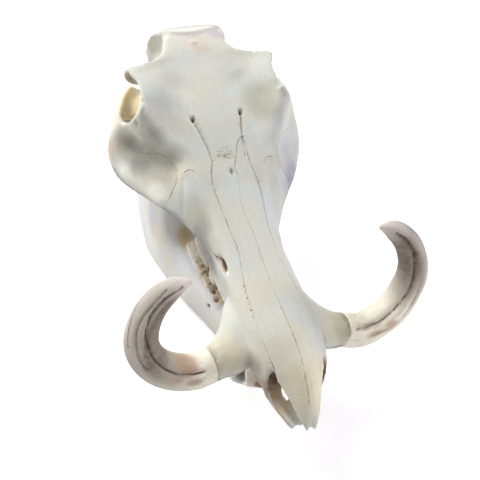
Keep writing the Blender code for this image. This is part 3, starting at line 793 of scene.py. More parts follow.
def addRims(piece):
    # The ragged lip at the front of each eye socket, and the bone that fills its corner
    cords = []
    for flip in flips("both"):
        cords.append(addCord(np.array(cranium["rimLip"]) * flip, *cranium["lipCord"]))
        cords.append(addCord(np.array(cranium["rimFiller"]) * flip, *cranium["fillerCord"]))
    joinTo(piece, cords)


def makeSkull():
    piece = copyNode("cranium", "skull")
    roundOff(piece, cranium["cuts"], cranium["smoothness"])
    addRims(piece)
    voxelRemesh(piece, cranium["voxel"])
    relax(piece, cranium["rounds"])
    levelOff(piece, *cranium["palate"])
    for flip in flips("both"):
        for centre, radii, rounds in cranium["filled"]:
            fillHollow(piece, (np.array(centre) * flip, radii), rounds)
    writePoints(piece, moulded(readPoints(piece)))
    lines = seamLines()
    fine = [line for values, line in lines if max(values["dark"]) > cranium["fineDark"]]
    refine(piece, fine, cranium["wideBand"])
    refine(piece, fine, cranium["narrowBand"])
    surface = openSurface(piece)
    # The hollows are felt where the points were before the forms took them
    surface["rest"] = 2 * surface["points"] - moulded(surface["points"])
    for values, line in lines:
        carve(surface, line, values["width"], values["depth"], values["dark"])
    for centre, radii, depth, dark in pits:
        sink(surface, moulded([centre])[0], radii, depth, dark)
    swell(surface, *knob)
    detailSkull(surface)
    paintSkull(surface)
    closeSurface(surface)
    return piece


# Crumbly places, as in the paint below: sides, middle, radii, how much, height and grain
crumblyPlaces = (
    ("both", (-101.5, 108, 163), (6, 12, 22), 1.0, 0.5, 2.2),
    ("both", (-66, -125, 103), (6, 24, 24), 1.0, 1.0, 2.8),
    ("both", (-29.8, -48, 84), (5, 10, 6), 1.0, 0.9, 2.0),
    ("both", (-52, 42, 170), (9, 8, 12), 0.5, 0.5, 1.8),
    ("right", (-3, 47, 182), (11, 9, 7), 0.8, 0.9, 1.9),
    ("left", (24, 20, 168), (5, 20, 12), 0.5, 0.5, 1.7),
    ("right", (-21, 25, 170), (5, 18, 12), 0.6, 0.6, 1.7),
)


def detailSkull(surface):
    centre, radii, depth, way, gain = cranium["nostrilWall"]
    lipReach, lipHeight, lipGrain = cranium["lipCrumble"]
    paleReach, *pale = cranium["lipTint"]
    archReach, *arch = cranium["archTint"]
    for flip in flips("both"):
        wall = inSpot(surface["points"], np.array(centre) * flip, radii)
        surface["shift"] -= depth * wall * np.clip(gain * facing(surface, np.array(way) * flip), 0, 1)
        lip = moulded(drawn(np.array(cranium["rimLip"]) * flip))
        crumble(surface, along(surface, lip, lipReach), lipHeight, lipGrain)
        tint(surface, along(surface, lip, paleReach), *pale)
        edge = moulded(drawn(np.array(cranium["archEdge"]) * flip))
        tint(surface, along(surface, edge, archReach), *arch)
    for sides, centre, radii, share, height, grain in crumblyPlaces:
        for flip in flips(sides):
            weight = inSpot(surface["points"], np.array(centre) * flip, radii) * share
            crumble(surface, weight, height, grain)


skullPaint = (
    # Sides, middle, radii, colour, strength, and the way the face has to look.
    # An entry for both sides is given for the right one, or for the middle. The entries marked below are
    # painted shade and painted highlights.
    # Painted warm reflected light on the arch's inner side, seen through each eye socket
    ("both", (-76, 138, 186), (23, 35, 25), (255, 232, 188), 1.0, None),
    # Painted shade on the forward- and down-facing wall below the rear corner of each brow
    ("both", (-74, 130, 221), (9, 10, 9), (204, 176, 146), 0.9, (-0.7, -0.5, -0.5)),
    # Painted light: the occipital cups kept pale though the key light leaves them in shade
    ("both", (-33, 188, 222), (14, 9, 16), (255, 252, 242), 0.95, None),
    ("both", (0, 173, 241), (36, 6, 5), (243, 240, 232), 0.85, None),
    ("both", (-14, -160, 72), (14, 22, 20), (226, 206, 174), 0.95, None),
    # Painted shade inside the nostrils and on their rims
    ("both", (-19, -147, 86), (14, 14, 18), (146, 108, 80), 0.95, None),
    ("both", (-28, -156, 97), (4, 9, 9), (156, 122, 94), 0.75, None),
    ("left", (27, -158, 98), (5, 10, 14), (150, 112, 88), 0.8, None),
    ("left", (-1.5, 160, 235), (12, 10, 8), (226, 204, 188), 0.45, None),
    ("left", (6, 152, 234), (10, 6, 6), (206, 186, 166), 0.45, None),
    ("left", (0, -172, 112), (26, 32, 28), (248, 237, 204), 0.75, None),
    ("left", (3, -140, 137), (12, 16, 10), (232, 222, 186), 0.4, None),
    # Painted shade in the corner in front of each tusk sheath
    ("both", (-34, -138, 106), (6, 12, 10), (142, 124, 108), 0.6, None),
    ("both", (-53, -120, 104), (14, 20, 14), (226, 216, 184), 0.6, None),
    ("left", (60, -124, 103), (9, 16, 16), (190, 186, 158), 0.75, None),
    # Painted shade where the tusks leave their sheaths
    ("left", (67, -122, 98), (3, 22, 22), (140, 126, 98), 0.6, None),
    ("right", (-66, -124, 103), (3, 22, 22), (176, 152, 120), 0.6, None),
    ("both", (-92, 96, 180), (7, 9, 12), (216, 208, 190), 0.5, None),
    ("both", (-89, 112, 192), (6, 10, 6), (224, 219, 208), 0.75, None),
    ("both", (-102.5, 107, 161), (3.5, 13, 15), (196, 170, 142), 0.6, None),
    ("both", (-52, 38, 172), (10, 10, 14), (205, 196, 168), 0.35, None),
    # Painted shade in the gap above the molars, below each cheek bone
    ("both", (-30, 10, 84), (6, 30, 10), (150, 118, 88), 0.7, None),
    ("both", (-29.5, 4, 94), (6, 36, 10), (128, 126, 136), 0.9, None),
    # Painted shade in the hollow under the right eye socket
    ("right", (-84, 84, 183), (14, 14, 13), (126, 122, 117), 0.66, None),
    ("right", (-76, 79, 202), (15, 14, 13), (154, 153, 145), 0.5, None),
    ("right", (-69, 71, 197), (13, 12, 12), (154, 153, 143), 0.6, None),
    ("right", (-88, 75, 160), (12, 12, 9), (176, 175, 170), 0.4, None),
    # Painted bluish shade under the front root of the right cheek bone
    ("right", (-42.5, -2, 132), (5, 11, 10), (146, 146, 156), 0.75, None),
    ("right", (-38, -11, 124), (5, 13, 8), (142, 142, 152), 0.75, None),
    # Painted shade along the same hollow
    ("right", (-71, 67, 185), (14, 13, 12), (142, 139, 124), 0.75, None),
    ("right", (-60, 56, 186), (10, 10, 9), (158, 156, 140), 0.6, None),
    ("right", (-82, 71, 166), (12, 12, 9), (132, 130, 123), 0.75, None),
    # Painted lilac shade on the animal's left side
    ("left", (68, 60, 168), (14, 16, 14), (186, 184, 190), 0.5, None),
    # Painted shade on the forward-sloping brow beside each eye socket
    ("right", (-50, 95, 211), (22, 24, 20), (164, 166, 158), 0.5, None),
    ("left", (46, 90, 209), (17, 22, 16), (172, 173, 158), 0.5, None),
    # Painted lilac shade on the left side of the face
    ("left", (70, 34, 144), (14, 24, 20), (162, 160, 170), 0.85, None),
    # Painted shade on faces that look down, under the snout's sides
    ("both", (-58, -124, 90), (16, 22, 14), (104, 98, 112), 0.9, (0, 0, -1)),
    # Painted highlight on the right cheek bone's upper face
    ("right", (-70, 44, 149), (12, 15, 9), (248, 247, 241), 0.6, None),
    # Painted shade under the right cheek bone's front root
    ("right", (-36, -8, 136), (8, 36, 14), (176, 176, 170), 0.6, None),
    # Painted lilac shade in the left occipital cup
    ("left", (26, 170, 238), (8, 7, 6), (198, 190, 198), 0.8, None),
    # Painted highlight along the right cheek bone's outer edge
    ("right", (-95, 80, 152), (8, 14, 8), (240, 238, 232), 0.5, None),
    ("right", (-31, -54.5, 129.5), (1.6, 2.6, 1.6), (255, 255, 252), 0.9, None),
)


def paintSkull(surface):
    for sides, centre, radii, colour, strength, way in skullPaint:
        for flip in flips(sides):
            weight = inSpot(surface["points"], moulded([np.array(centre) * flip])[0], radii)
            if way:
                weight = weight * np.clip(cranium["facingGain"] * facing(surface, np.array(way) * flip), 0, 1)
            tint(surface, weight, colour, strength)


jaw = {
    "cuts": 2,
    "smoothness": 0.9,
    "voxel": 1.4,
    "rounds": 6,
    # The bone around the molars: a box from low to high, and the levels it keeps within
    "toothBed": ((-40, -20, 58), (40, 46.5, 78), 58, 65.7),
    "rim": ((-33, 10, 66), (-33.5, -4, 66), (-31, -14, 64), (-27, -24, 61), (-25, -34, 59)),
    "rimBand": 6.0,
    # Reach, height and grain of the crumbling rim
    "rimCrumble": (5.0, 1.1, 1.9),
    "molarLine": ((-31, 46, 65), (-32, 16, 65)),
    "molarBand": 7.0,
    # The crumbly bone beside the last molar: middle, radii, height and grain
    "crumbly": ((-31, 29, 65), (6.5, 15, 4), 2.4, 2.6),
    # Holes: middle, radii, depth, and the darkness of the painted shade inside
    "holes": (((-36.5, -29.4, 47.7), (2.4, 2.4, 2.2), 2.5, 1.0), ((-52, 4, 38), (1.2, 1.2, 1.2), 1.0, 0.7)),
}

# Middle, radii, colour and strength, on both sides
jawPaint = (
    # Painted bluish shade on the outer face of each jaw's rear
    ((-66.5, 80, 74), (5, 16, 24), (176, 178, 196), 0.6),
    ((-64, 66, 62), (5, 16, 14), (228, 212, 170), 0.5),
    ((-60, 42, 42), (6, 12, 8), (230, 216, 182), 0.45),
    # Painted warm shade in the gap behind the molars
    ((-38, 52, 67), (9, 14, 12), (200, 170, 128), 0.95),
    ((-31, 30, 65), (8, 18, 6), (255, 238, 196), 0.95),
    ((-30, -4, 64), (8, 24, 6), (212, 184, 140), 0.75),
    ((-26, -28, 59), (6, 14, 6), (200, 170, 128), 0.8),
    ((-21, -122, 48), (9, 14, 7), (232, 212, 200), 0.8),
    # Painted shade inside the empty canine socket
    ((-20, -132, 48), (5, 5, 5), (130, 94, 70), 0.95),
)


def makeJaw():
    piece = copyNode("mandible", "lowerJaw")
    roundOff(piece, jaw["cuts"], jaw["smoothness"])
    voxelRemesh(piece, jaw["voxel"])
    relax(piece, jaw["rounds"])
    levelOff(piece, *jaw["toothBed"])
    rims, rows = ([drawn(jaw[key]), drawn(mirrored(jaw[key]))] for key in ("rim", "molarLine"))
    refine(piece, rims, jaw["rimBand"])
    refine(piece, rows, jaw["molarBand"])
    surface = openSurface(piece)
    reach, height, grain = jaw["rimCrumble"]
    for rim in rims:
        crumble(surface, along(surface, rim, reach), height, grain)
    centre, radii, height, grain = jaw["crumbly"]
    for flip in flips("both"):
        crumble(surface, inSpot(surface["points"], np.array(centre) * flip, radii), height, grain)
    for flip in flips("both"):
        for centre, radii, depth, dark in jaw["holes"]:
            sink(surface, np.array(centre) * flip, radii, depth, dark)
        for centre, radii, colour, strength in jawPaint:
            tint(surface, inSpot(surface["points"], np.array(centre) * flip, radii), colour, strength)
    closeSurface(surface)
    return piece


# Tusks

tusk = {
    "cuts": 2,
    "smoothness": 0.9,
    "voxel": 0.7,
    "rounds": 6,
    "grooveBand": 1.6,
    "grooveWaver": 0.2,
    "grooveLip": 0.1,
    # Width and depth of the dark core in a groove
    "coreWidth": (0.75, 0.75),
    "coreDepth": (0.5, 0.4),
    # Middle line from the sheath to the tip, left and right
    "leftPath": (
        (66, -119.5, 87), (80, -119.5, 83), (94, -119, 81.5), (111, -117, 90), (123, -115, 103),
        (129, -112, 121), (130.3, -110.5, 140), (126, -108.5, 160), (117, -106, 180), (106, -104.5, 195),
        (93, -103.5, 206.5), (79, -103, 213),
    ),
    "rightPath": (
        (-66, -120, 87), (-80, -119.5, 87.5), (-94, -118, 90), (-107, -116, 97.5), (-117, -113.5, 109),
        (-123.5, -111, 124), (-125.5, -109.5, 142), (-122.5, -108, 161), (-116, -106.5, 178),
        (-107, -105.5, 190), (-96, -105, 197.5), (-83, -104.5, 199.5),
    ),
    # The streaks change this much more slowly along the tusk than across it
    "flowShare": 0.05,
    "outside": (254, 249, 232),
    # The darker upper part: its start as a share of the length, how slowly it comes, colour and strength
    "lateStart": {"left": 0.34, "right": 0.1},
    "lateSpan": 0.32,
    "upper": (138, 126, 119),
    "upperStrength": {"left": 0.75, "right": 0.5},
    # The inner side of the curl: weight half way round, how fast it drops outwards, colour and strength
    "insideRamp": (1.1, 1.8),
    "inside": (112, 98, 91),
    "insideStrength": 0.9,
    # The outer contour's painted shade: where it starts on the way round, its span, colour and strength
    "contourRamp": (0.8, 0.15),
    "contour": (136, 129, 136),
    "contourStrength": {"left": 0.6, "right": 0.2},
    "tipRamp": (0.86, 0.12),
    "tip": (240, 231, 224),
    "tipStrength": 0.8,
    # The underside's painted shade: the way it faces, how fast it darkens and how late
    "belowWay": (0.3, -0.1, -0.95),
    "belowRamp": (1.8, 0.3),
    "below": (112, 104, 112),
    "belowStrength": 0.8,
}

# As the seams, with the darkness of the thin core at the groove's start and end
tuskGrooves = {
    "left": (
        {
            "width": (3.6, 1.8), "depth": (3.2, 1.6), "dark": (0.3, 0.5), "core": (0.85, 0.95),
            "line": (
                (76.7, -127.8, 98.6), (86.8, -127.2, 96.3), (95.7, -126.5, 97.2), (103.2, -126.6, 100.7),
                (109.3, -125.1, 106.2), (114.6, -124.3, 112.9), (118.6, -123.7, 120.9),
                (121.5, -123.4, 130.2), (122.6, -122.4, 140.5), (122.5, -121.2, 151.4),
                (120.6, -119.9, 162.9), (119.2, -117.9, 173.2), (115, -115.9, 184), (108.3, -114.3, 194),
                (100.6, -112.6, 202.8), (92.8, -110.3, 208.5),
            ),
        },
        {
            "width": (0.9, 0.8), "depth": (0.4, 0.3), "dark": (0.15, 0.4), "core": (0.0, 0.0),
            "line": (
                (67.3, -132.7, 89.5), (76.1, -133.9, 90.1), (85.9, -134, 88.9), (95.4, -133, 89.5),
                (104.2, -132.6, 91.2), (112.8, -131, 93.4), (120, -129.8, 98.1), (125, -128.5, 105.5),
                (129, -126.9, 113.7), (131.6, -125.3, 123.1), (132.7, -124.1, 133.9),
            ),
        },
    ),
    "right": (
        {
            "width": (2.0, 1.4), "depth": (1.8, 0.9), "dark": (0.4, 0.45), "core": (1.0, 0.9),
            "line": (
                (-76.3, -129.7, 100.4), (-84.3, -129.8, 100.6), (-92.1, -129.1, 102),
                (-100, -128.2, 105.8), (-107, -126.7, 112), (-113.3, -125.1, 120.1),
                (-118.3, -123.6, 130), (-121.7, -122.6, 142.1), (-123.4, -120.8, 152.7),
                (-123.9, -119.5, 163.9), (-122.2, -118.4, 173.8), (-119.9, -116.6, 182.2),
                (-115.5, -115.5, 188.6), (-110.9, -114.2, 194.4), (-105.4, -113.2, 198.5),
                (-99.1, -112.2, 200.7), (-92.4, -110.1, 201.3),
            ),
        },
        {
            "width": (1.6, 1.2), "depth": (1.0, 0.6), "dark": (0.45, 0.4), "core": (0.55, 0.5),
            "line": (
                (-116, -131, 111), (-125.9, -125.1, 121.6), (-129.8, -123.6, 132.8),
                (-132.2, -121.6, 143.6), (-132.2, -119.8, 154.2), (-131.2, -117.5, 163.3),
                (-128.8, -115.7, 172.1), (-125, -114.7, 180), (-120.7, -113.7, 187),
                (-115.7, -113, 192.7), (-110.4, -111.8, 197.6), (-105, -110.2, 201.6),
            ),
        },
        {
            "width": (0.8, 0.7), "depth": (0.4, 0.3), "dark": (0.35, 0.35), "core": (0.3, 0.3),
            "line": (
                (-137.3, -116.1, 147.1), (-136.6, -113.4, 156.1), (-134.9, -110.6, 164.2),
                (-132.4, -108, 171.8), (-129.2, -105.5, 178.5), (-125.1, -103.5, 184.9),
            ),
        },
    ),
}

# Middle, radii, colour and strength
tuskStains = {
    "left": (
        ((100, -133, 90), (15, 5, 4), (186, 140, 104), 0.7),
        ((112, -131, 96), (7, 5, 6), (180, 130, 96), 0.6),
        ((84, -124, 104), (14, 5, 3), (226, 196, 150), 0.6),
        ((90, -128, 97), (12, 5, 3), (170, 140, 112), 0.5),
    ),
    "right": (
        ((-92, -118, 106), (13, 12, 8), (176, 146, 120), 0.85),
        ((-88, -126, 102), (9, 6, 6), (178, 138, 108), 0.7),
        ((-86, -134, 93.5), (8, 5, 5), (160, 118, 94), 0.7),
        ((-101, -129, 100), (7, 6, 5), (188, 152, 122), 0.6),
    ),
}


def followPath(points, path):
    # For each point: place along the path in mm, and the offset from it towards the front and outwards
    path = drawn(path, step=2.0)
    tangent = np.gradient(path, axis=0)
    tangent /= np.linalg.norm(tangent, axis=1)[:, None]
    nearest = np.empty(len(points), int)
    for start in range(0, len(points), 4000):
        block = points[start:start + 4000]
        nearest[start:start + 4000] = ((block[:, None] - path[None]) ** 2).sum(2).argmin(1)
    front = np.array((0.0, -1.0, 0.0)) + tangent * tangent[:, 1:2]
    front /= np.linalg.norm(front, axis=1)[:, None]
    out = np.cross(tangent, front)
    offset = points - path[nearest]
    length = np.r_[0, np.cumsum(np.linalg.norm(np.diff(path, axis=0), axis=1))]
    place = length[nearest] + (offset * tangent[nearest]).sum(1)
    return place, (offset * front[nearest]).sum(1), (offset * out[nearest]).sum(1), length[-1]


def makeTusk(name):
    side = 1 if name == "left" else -1
    piece = copyNode("tusk_" + name, name + "Tusk")
    roundOff(piece, tusk["cuts"], tusk["smoothness"])
    voxelRemesh(piece, tusk["voxel"])
    relax(piece, tusk["rounds"])
    refine(piece, [drawn(values["line"]) for values in tuskGrooves[name]], tusk["grooveBand"])
    surface = openSurface(piece)
    place, front, out, length = followPath(surface["points"], tusk[name + "Path"])
    outward = out * side / np.maximum(np.hypot(out, front), 1e-6)
    share = place / length
    tint(surface, np.ones(len(place)), tusk["outside"], 1.0)
    late = np.clip((share - tusk["lateStart"][name]) / tusk["lateSpan"], 0, 1)
    tint(surface, late, tusk["upper"], tusk["upperStrength"][name])
    even, drop = tusk["insideRamp"]
    tint(surface, np.clip(even - drop * outward, 0, 1) * late, tusk["inside"], tusk["insideStrength"])
    # Painted shade along the outer contour
    start, span = tusk["contourRamp"]
    tint(surface, np.clip((outward - start) / span, 0, 1), tusk["contour"], tusk["contourStrength"][name])
    start, span = tusk["tipRamp"]
    tint(surface, np.clip((share - start) / span, 0, 1), tusk["tip"], tusk["tipStrength"])
    # Painted shade on the underside
    gain, lag = tusk["belowRamp"]
    below = np.clip(gain * facing(surface, np.array(tusk["belowWay"]) * (side, 1, 1)) - lag, 0, 1)
    tint(surface, below, tusk["below"], tusk["belowStrength"])
    for values in tuskGrooves[name]:
        line = drawn(values["line"], waver=tusk["grooveWaver"])
        carve(surface, line, values["width"], values["depth"], values["dark"], tusk["grooveLip"])
        carve(surface, line, tusk["coreWidth"], tusk["coreDepth"], values["core"], 0.0)
    for centre, radii, colour, strength in tuskStains[name]:
        tint(surface, inSpot(surface["points"], centre, radii), colour, strength)
    streak = np.stack((front, out, place * tusk["flowShare"]), axis=1) * mm
    flow = piece.data.attributes.new("flow", "FLOAT_VECTOR", "POINT")
    flow.data.foreach_set("vector", streak.ravel())
    closeSurface(surface)
    return piece


# Molars

molars = {
    # Each row: middle x and y, length, width, columns along and across, turn in degrees.
    # wearMoves lifts a worn column's middle by a share of its wear, or lowers it.
    "upperMolars": {
        "rows": ((23.5, 21.0, 46.0, 12.5, 10, 3, -3.0), (23.5, -12.0, 17.0, 12.0, 4, 3, -2.0)),
        "low": 66.2,
        "high": 84.0,
        "wearMoves": 0.5,
        "wornEnd": "low",
        "wornColour": (172, 146, 108),
    },
    "lowerMolars": {
        "rows": ((32.0, 22.0, 46.0, 12.0, 10, 3, -4.0), (29.5, -10.0, 15.0, 11.5, 3, 3, -4.0)),
        "low": 50.0,
        "high": 67.6,
        "wearMoves": -0.5,
        "wornEnd": "high",
        "wornColour": (255, 240, 200),
    },
    "radius": 2.45,
    "sides": 10,
    "bevel": 0.5,
    # Every second row of columns is moved along by this share of a column
    "stagger": 0.25,
    # The columns keep within the molar by these lengths, across and along
    "inset": (1.2, 2.0),
    # Scale of the noise between columns, how far their widths differ, and the deepest wear
    "differScale": 0.9,
    "differ": 0.18,
    "wear": 2.2,
    "voxel": 0.75,
    "rounds": 2,
    # How much, height and grain
    "crumble": (0.6, 0.5, 1.5),
    "wornBand": 1.2,
    "wornStrength": 0.8,
    # Painted shade: dark brown over the upper molars, which stand in shadow
    "upperShade": ((118, 96, 74), 0.8),
    # Middle, radii, colour and strength of the last lower molar's pale, crumbly dentine
    "dentine": ((30.5, 33, 66), (12, 17, 6), (255, 252, 240), 1.0),
}


def makeColumns(name, side):
    # Every molar is a bundle of enamel columns, worn to one chewing level
    values = molars[name]
    spots = []
    for x, y, length, width, count, across, turn in values["rows"]:
        lean = math.radians(turn * side)
        for i in range(count):
            for j in range(across):
                away = (i + 0.5 + molars["stagger"] * (j % 2)) / count - 0.5
                u = ((j + 0.5) / across - 0.5) * (width - molars["inset"][0])
                v = away * (length - molars["inset"][1])
                spotX = side * x + u * math.cos(lean) - v * math.sin(lean)
                spotY = y + u * math.sin(lean) + v * math.cos(lean)
                spots.append((spotX, spotY))
    height = values["high"] - values["low"]
    middle = (values["low"] + values["high"]) / 2
    deselectAll()
    size = {"vertices": molars["sides"], "radius": molars["radius"] * mm, "depth": height * mm}
    bpy.ops.mesh.primitive_cylinder_add(**size, location=(0, 0, 0))
    first = bpy.context.object
    bpy.ops.object.mode_set(mode="EDIT")
    bpy.ops.mesh.select_all(action="SELECT")
    bpy.ops.mesh.bevel(offset=molars["bevel"] * mm, segments=1)
    bpy.ops.object.mode_set(mode="OBJECT")
    first.name = ("right" if side < 0 else "left") + name[0].upper() + name[1:]
    base = readPoints(first)
    copies = []
    for index, (x, y) in enumerate(spots):
        column = first if index == 0 else bpy.data.objects.new("column", first.data.copy())
        if index:
            bpy.context.scene.collection.objects.link(column)
        # 7.7 only picks a level of the noise
        swing = noise.noise_vector(Vector((x, y, 7.7)) * molars["differScale"])
        points = base * (1 + molars["differ"] * swing[0], 1 + molars["differ"] * swing[1], 1.0)
        worn = molars["wear"] * abs(swing[2])
        points[:, 2] = middle + points[:, 2] * (height - worn) / height
        points[:, 2] += worn * values["wearMoves"]
        points[:, :2] += (x, y)
        writePoints(column, points)
        copies.append(column)
    joinTo(first, copies[1:])
    voxelRemesh(first, molars["voxel"])
    relax(first, molars["rounds"])
    surface = openSurface(first)
    everywhere = np.ones(len(surface["points"]))
    share, rise, grain = molars["crumble"]
    crumble(surface, everywhere * share, rise, grain)
    level = values[values["wornEnd"]]
    worn = np.clip(1 - np.abs(surface["points"][:, 2] - level) / molars["wornBand"], 0, 1)
    tint(surface, worn, values["wornColour"], molars["wornStrength"])
    if name == "lowerMolars":
        centre, radii, colour, strength = molars["dentine"]
        tint(surface, inSpot(surface["points"], np.array(centre) * (side, 1, 1), radii), colour, strength)
    else:
        # Painted shade over the whole upper molar block
        tint(surface, everywhere, *molars["upperShade"])
    closeSurface(surface)
    points = readPoints(first)
    points[:, 2] = np.clip(points[:, 2], values["low"], values["high"])
    writePoints(first, points)
    return first


# Materials


def addNode(tree, kind, inputs=None, **settings):
    node = tree.nodes.new("ShaderNode" + kind)
    for name, value in settings.items():
        setattr(node, name, value)
    for key, value in (inputs or {}).items():
        if isinstance(value, bpy.types.NodeSocket):
            tree.links.new(value, node.inputs[key])
        else:
            node.inputs[key].default_value = value
    return node


def mixColour(tree, factor, first, second):
    return addNode(tree, "Mix", {0: factor, 6: first, 7: second}, data_type="RGBA").outputs[2]


def rescale(tree, value, fromMin, fromMax, toMin=0.0, toMax=1.0):
    inputs = {"Value": value, "From Min": fromMin, "From Max": fromMax, "To Min": toMin, "To Max": toMax}
    return addNode(tree, "MapRange", inputs).outputs[0]


def sums(tree, operation, first, second, clamp=False):
    return addNode(tree, "Math", {0: first, 1: second}, operation=operation, use_clamp=clamp).outputs[0]


def noiseValue(tree, vector, scale, detail, rough):
    inputs = {"Vector": vector, "Scale": scale, "Detail": detail, "Roughness": rough}
    return addNode(tree, "TexNoise", inputs).outputs[0]


# A noise has scale, detail and roughness, but mottle and streak get their scale from the finish.
# A ramp takes the values between its first two numbers to its last two, or to 0 and 1.
weather = {
    "mottle": (4.0, 0.55),
    "mottleRamp": (0.36, 0.64),
    "streak": (3.0, 0.6),
    "streakRamp": (0.4, 0.7),
    "patch": (170.0, 4.0, 0.6),
    "spots": (480.0, 3.0, 0.65),
    "spotsRamp": (0.56, 0.74, 0.0, 0.3),
    "grain": (1500.0, 2.0, 0.5),
    "poresRamp": (0.6, 0.76),
    "pores": 0.3,
    "speckScale": 620.0,
    "speckRamp": (0.1, 0.42, 1.0, 0.0),
    # Painted places keep fewer specks and hardly any painted hollow shade, and patches thin the paint itself
    "speckUnderPaint": (0.2, 1.0, 0.75, 0.3),
    "paintHides": 0.95,
    "paintRamp": (0.3, 0.6, 0.72, 1.0),
    "hollowRamp": (0.14, 0.8),
    # A seam gets its colour up to where the mask is 1, and painted shade takes the deepest holes on to nearly
    # black
    "seamRamp": (0.25, 0.55, 0.9, 1.4),
    "deepRamp": (0.95, 1.6),
    "deepColour": (0.05, 0.03, 0.02, 1.0),
    "roughnessRamp": (0.3, 0.7, 0.5, 0.72),
    "heights": {"grain": 0.25, "streak": 0.35, "speck": 1.2},
}


def makeWeathering():
    # Old bone, ivory and enamel: mottled colour, long streaks, painted shade in hollows, dark seams and pores
    tree = bpy.data.node_groups.new("weathering", "ShaderNodeTree")
    greys = {"Pale": 1.0, "Warm": 0.8, "Grime": 0.3, "Seam Colour": 0.05, "Paint": 0.5}
    values = {"Mottle Scale": 60.0, "Streak Scale": 700.0, "Streak Amount": 0.1, "Seam": 0.0, "Hollow": 0.0}
    values.update({"Hollow Shade Amount": 0.5, "Crumb": 0.0, "Cover": 0.0})
    for name in ("Place", "Flow"):
        tree.interface.new_socket(name, in_out="INPUT", socket_type="NodeSocketVector")
    for name, grey in greys.items():
        socket = tree.interface.new_socket(name, in_out="INPUT", socket_type="NodeSocketColor")
        socket.default_value = (grey, grey, grey, 1.0)
    for name, value in values.items():
        tree.interface.new_socket(name, in_out="INPUT", socket_type="NodeSocketFloat").default_value = value
    for name, kind in (("Colour", "Color"), ("Roughness", "Float"), ("Height", "Float")):
        tree.interface.new_socket(name, in_out="OUTPUT", socket_type="NodeSocket" + kind)
    given = tree.nodes.new("NodeGroupInput").outputs
    result = tree.nodes.new("NodeGroupOutput").inputs

    mottle = noiseValue(tree, given["Place"], given["Mottle Scale"], *weather["mottle"])
    colour = mixColour(tree, rescale(tree, mottle, *weather["mottleRamp"]), given["Pale"], given["Warm"])
    streak = noiseValue(tree, given["Flow"], given["Streak Scale"], *weather["streak"])
    darker = sums(tree, "MULTIPLY", rescale(tree, streak, *weather["streakRamp"]), given["Streak Amount"])
    colour = mixColour(tree, darker, colour, given["Grime"])
    patch = noiseValue(tree, given["Place"], *weather["patch"])
    thick = rescale(tree, patch, *weather["paintRamp"])
    cover = sums(tree, "MULTIPLY", given["Cover"], thick, clamp=True)
    colour = mixColour(tree, cover, colour, given["Paint"])
    # Painted shade: the more enclosed the bone (the hollow mask), the more the colour darkens towards the
    # grime colour; painted places keep little of it
    bare = sums(tree, "SUBTRACT", 1.0, sums(tree, "MULTIPLY", given["Cover"], weather["paintHides"]))
    hollowShade = sums(tree, "MULTIPLY", rescale(tree, given["Hollow"], *weather["hollowRamp"]), bare)
    deep = sums(tree, "MULTIPLY", hollowShade, given["Hollow Shade Amount"], clamp=True)
    colour = mixColour(tree, deep, colour, given["Grime"])
    cells = addNode(tree, "TexVoronoi", {"Vector": given["Place"], "Scale": weather["speckScale"]})
    dots = rescale(tree, cells.outputs["Distance"], *weather["speckRamp"])
    speck = sums(tree, "MULTIPLY", dots, given["Crumb"])
    worn = sums(tree, "MULTIPLY", speck, rescale(tree, given["Cover"], *weather["speckUnderPaint"]))
    colour = mixColour(tree, worn, colour, given["Grime"])
    spots = rescale(tree, noiseValue(tree, given["Place"], *weather["spots"]), *weather["spotsRamp"])
    colour = mixColour(tree, spots, colour, given["Grime"])
    grain = noiseValue(tree, given["Place"], *weather["grain"])
    pores = sums(tree, "MULTIPLY", rescale(tree, grain, *weather["poresRamp"]), weather["pores"])
    colour = mixColour(tree, pores, colour, given["Grime"])
    edge = sums(tree, "MULTIPLY", given["Seam"], rescale(tree, patch, *weather["seamRamp"]), clamp=True)
    colour = mixColour(tree, edge, colour, given["Seam Colour"])
    deepest = rescale(tree, given["Seam"], *weather["deepRamp"])
    tree.links.new(mixColour(tree, deepest, colour, weather["deepColour"]), result["Colour"])
    tree.links.new(rescale(tree, grain, *weather["roughnessRamp"]), result["Roughness"])
    grained, streaked, pitted = (
        sums(tree, "MULTIPLY", value, weather["heights"][key])
        for key, value in (("grain", grain), ("streak", streak), ("speck", speck))
    )
    height = sums(tree, "SUBTRACT", sums(tree, "ADD", grained, streaked), pitted)
    tree.links.new(height, result["Height"])
    return tree


finishes = {
    "skullBone": {
        "Pale": (0.66, 0.69, 0.665), "Warm": (0.69, 0.675, 0.59), "Grime": (0.27, 0.235, 0.18),
        "Seam Colour": (0.29, 0.165, 0.075),
        "Mottle Scale": 30.0, "Streak Scale": 300.0, "Streak Amount": 0.06, "Hollow Shade Amount": 0.42,
        "stretch": (1.0, 0.08, 0.08), "specular": 0.35, "bump": 0.6,
    },
    "jawBone": {
        "Pale": (0.79, 0.81, 0.85), "Warm": (0.79, 0.78, 0.74), "Grime": (0.33, 0.26, 0.18),
        "Seam Colour": (0.085, 0.05, 0.028),
        "Mottle Scale": 36.0, "Streak Scale": 200.0, "Streak Amount": 0.12, "Hollow Shade Amount": 0.3,
        "stretch": (1.0, 0.25, 0.08), "specular": 0.35, "bump": 0.35,
    },
    "tuskIvory": {
        "Pale": (0.70, 0.64, 0.54), "Warm": (0.62, 0.53, 0.41), "Grime": (0.17, 0.11, 0.075),
        "Seam Colour": (0.045, 0.026, 0.018),
        "Mottle Scale": 50.0, "Streak Scale": 420.0, "Streak Amount": 0.45, "Hollow Shade Amount": 0.25,
        "stretch": None, "specular": 0.5, "bump": 0.3,
    },
    "molarEnamel": {
        "Pale": (0.72, 0.66, 0.53), "Warm": (0.58, 0.48, 0.33), "Grime": (0.22, 0.145, 0.085),
        "Seam Colour": (0.06, 0.035, 0.02),
        "Mottle Scale": 220.0, "Streak Scale": 500.0, "Streak Amount": 0.4, "Hollow Shade Amount": 0.7,
        "stretch": (1.0, 1.0, 0.15), "specular": 0.5, "bump": 0.5,
    },
}


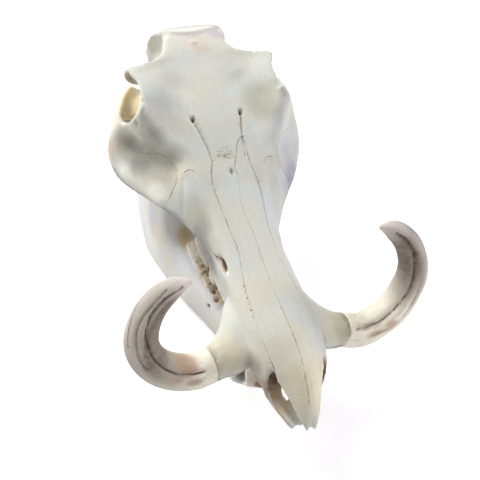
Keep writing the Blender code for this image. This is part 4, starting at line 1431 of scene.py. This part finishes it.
def makeMaterial(name, weathering):
    values = finishes[name]
    material = bpy.data.materials.new(name)
    material.use_nodes = True
    tree = material.node_tree
    shader = tree.nodes["Principled BSDF"]
    place = addNode(tree, "TexCoord").outputs["Object"]
    if values["stretch"]:
        flow = addNode(tree, "Mapping", {"Vector": place, "Scale": values["stretch"]}).outputs[0]
    else:
        flow = addNode(tree, "Attribute", attribute_name="flow").outputs["Vector"]
    worn = tree.nodes.new("ShaderNodeGroup")
    worn.node_tree = weathering
    tree.links.new(place, worn.inputs["Place"])
    tree.links.new(flow, worn.inputs["Flow"])
    for mask, socket in (("seam", "Seam"), ("hollow", "Hollow"), ("crumb", "Crumb"), ("cover", "Cover")):
        tree.links.new(addNode(tree, "Attribute", attribute_name=mask).outputs["Fac"], worn.inputs[socket])
    tree.links.new(addNode(tree, "Attribute", attribute_name="paint").outputs["Color"], worn.inputs["Paint"])
    for key, value in values.items():
        if key in worn.inputs:
            worn.inputs[key].default_value = (*value, 1.0) if isinstance(value, tuple) else value
    relief = {"Height": worn.outputs["Height"], "Strength": values["bump"], "Distance": mm}
    bump = addNode(tree, "Bump", relief)
    tree.links.new(worn.outputs["Colour"], shader.inputs["Base Color"])
    tree.links.new(worn.outputs["Roughness"], shader.inputs["Roughness"])
    tree.links.new(bump.outputs[0], shader.inputs["Normal"])
    shader.inputs["Specular IOR Level"].default_value = values["specular"]
    return material


def dress(piece, material, node):
    piece.data.materials.clear()
    piece.data.materials.append(material)
    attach(piece, "root")
    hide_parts(node)


addCamera()
addLights()
addFloor()
print("studio ready")
weathering = makeWeathering()
bone = makeMaterial("skullBone", weathering)
jawBone = makeMaterial("jawBone", weathering)
ivory = makeMaterial("tuskIvory", weathering)
enamel = makeMaterial("molarEnamel", weathering)
print("materials ready")
dress(makeSkull(), bone, "cranium")
dress(makeJaw(), jawBone, "mandible")
for name in ("left", "right"):
    dress(makeTusk(name), ivory, "tusk_" + name)
for side in (1, -1):
    dress(makeColumns("upperMolars", side), enamel, "cranium")
    dress(makeColumns("lowerMolars", side), enamel, "mandible")
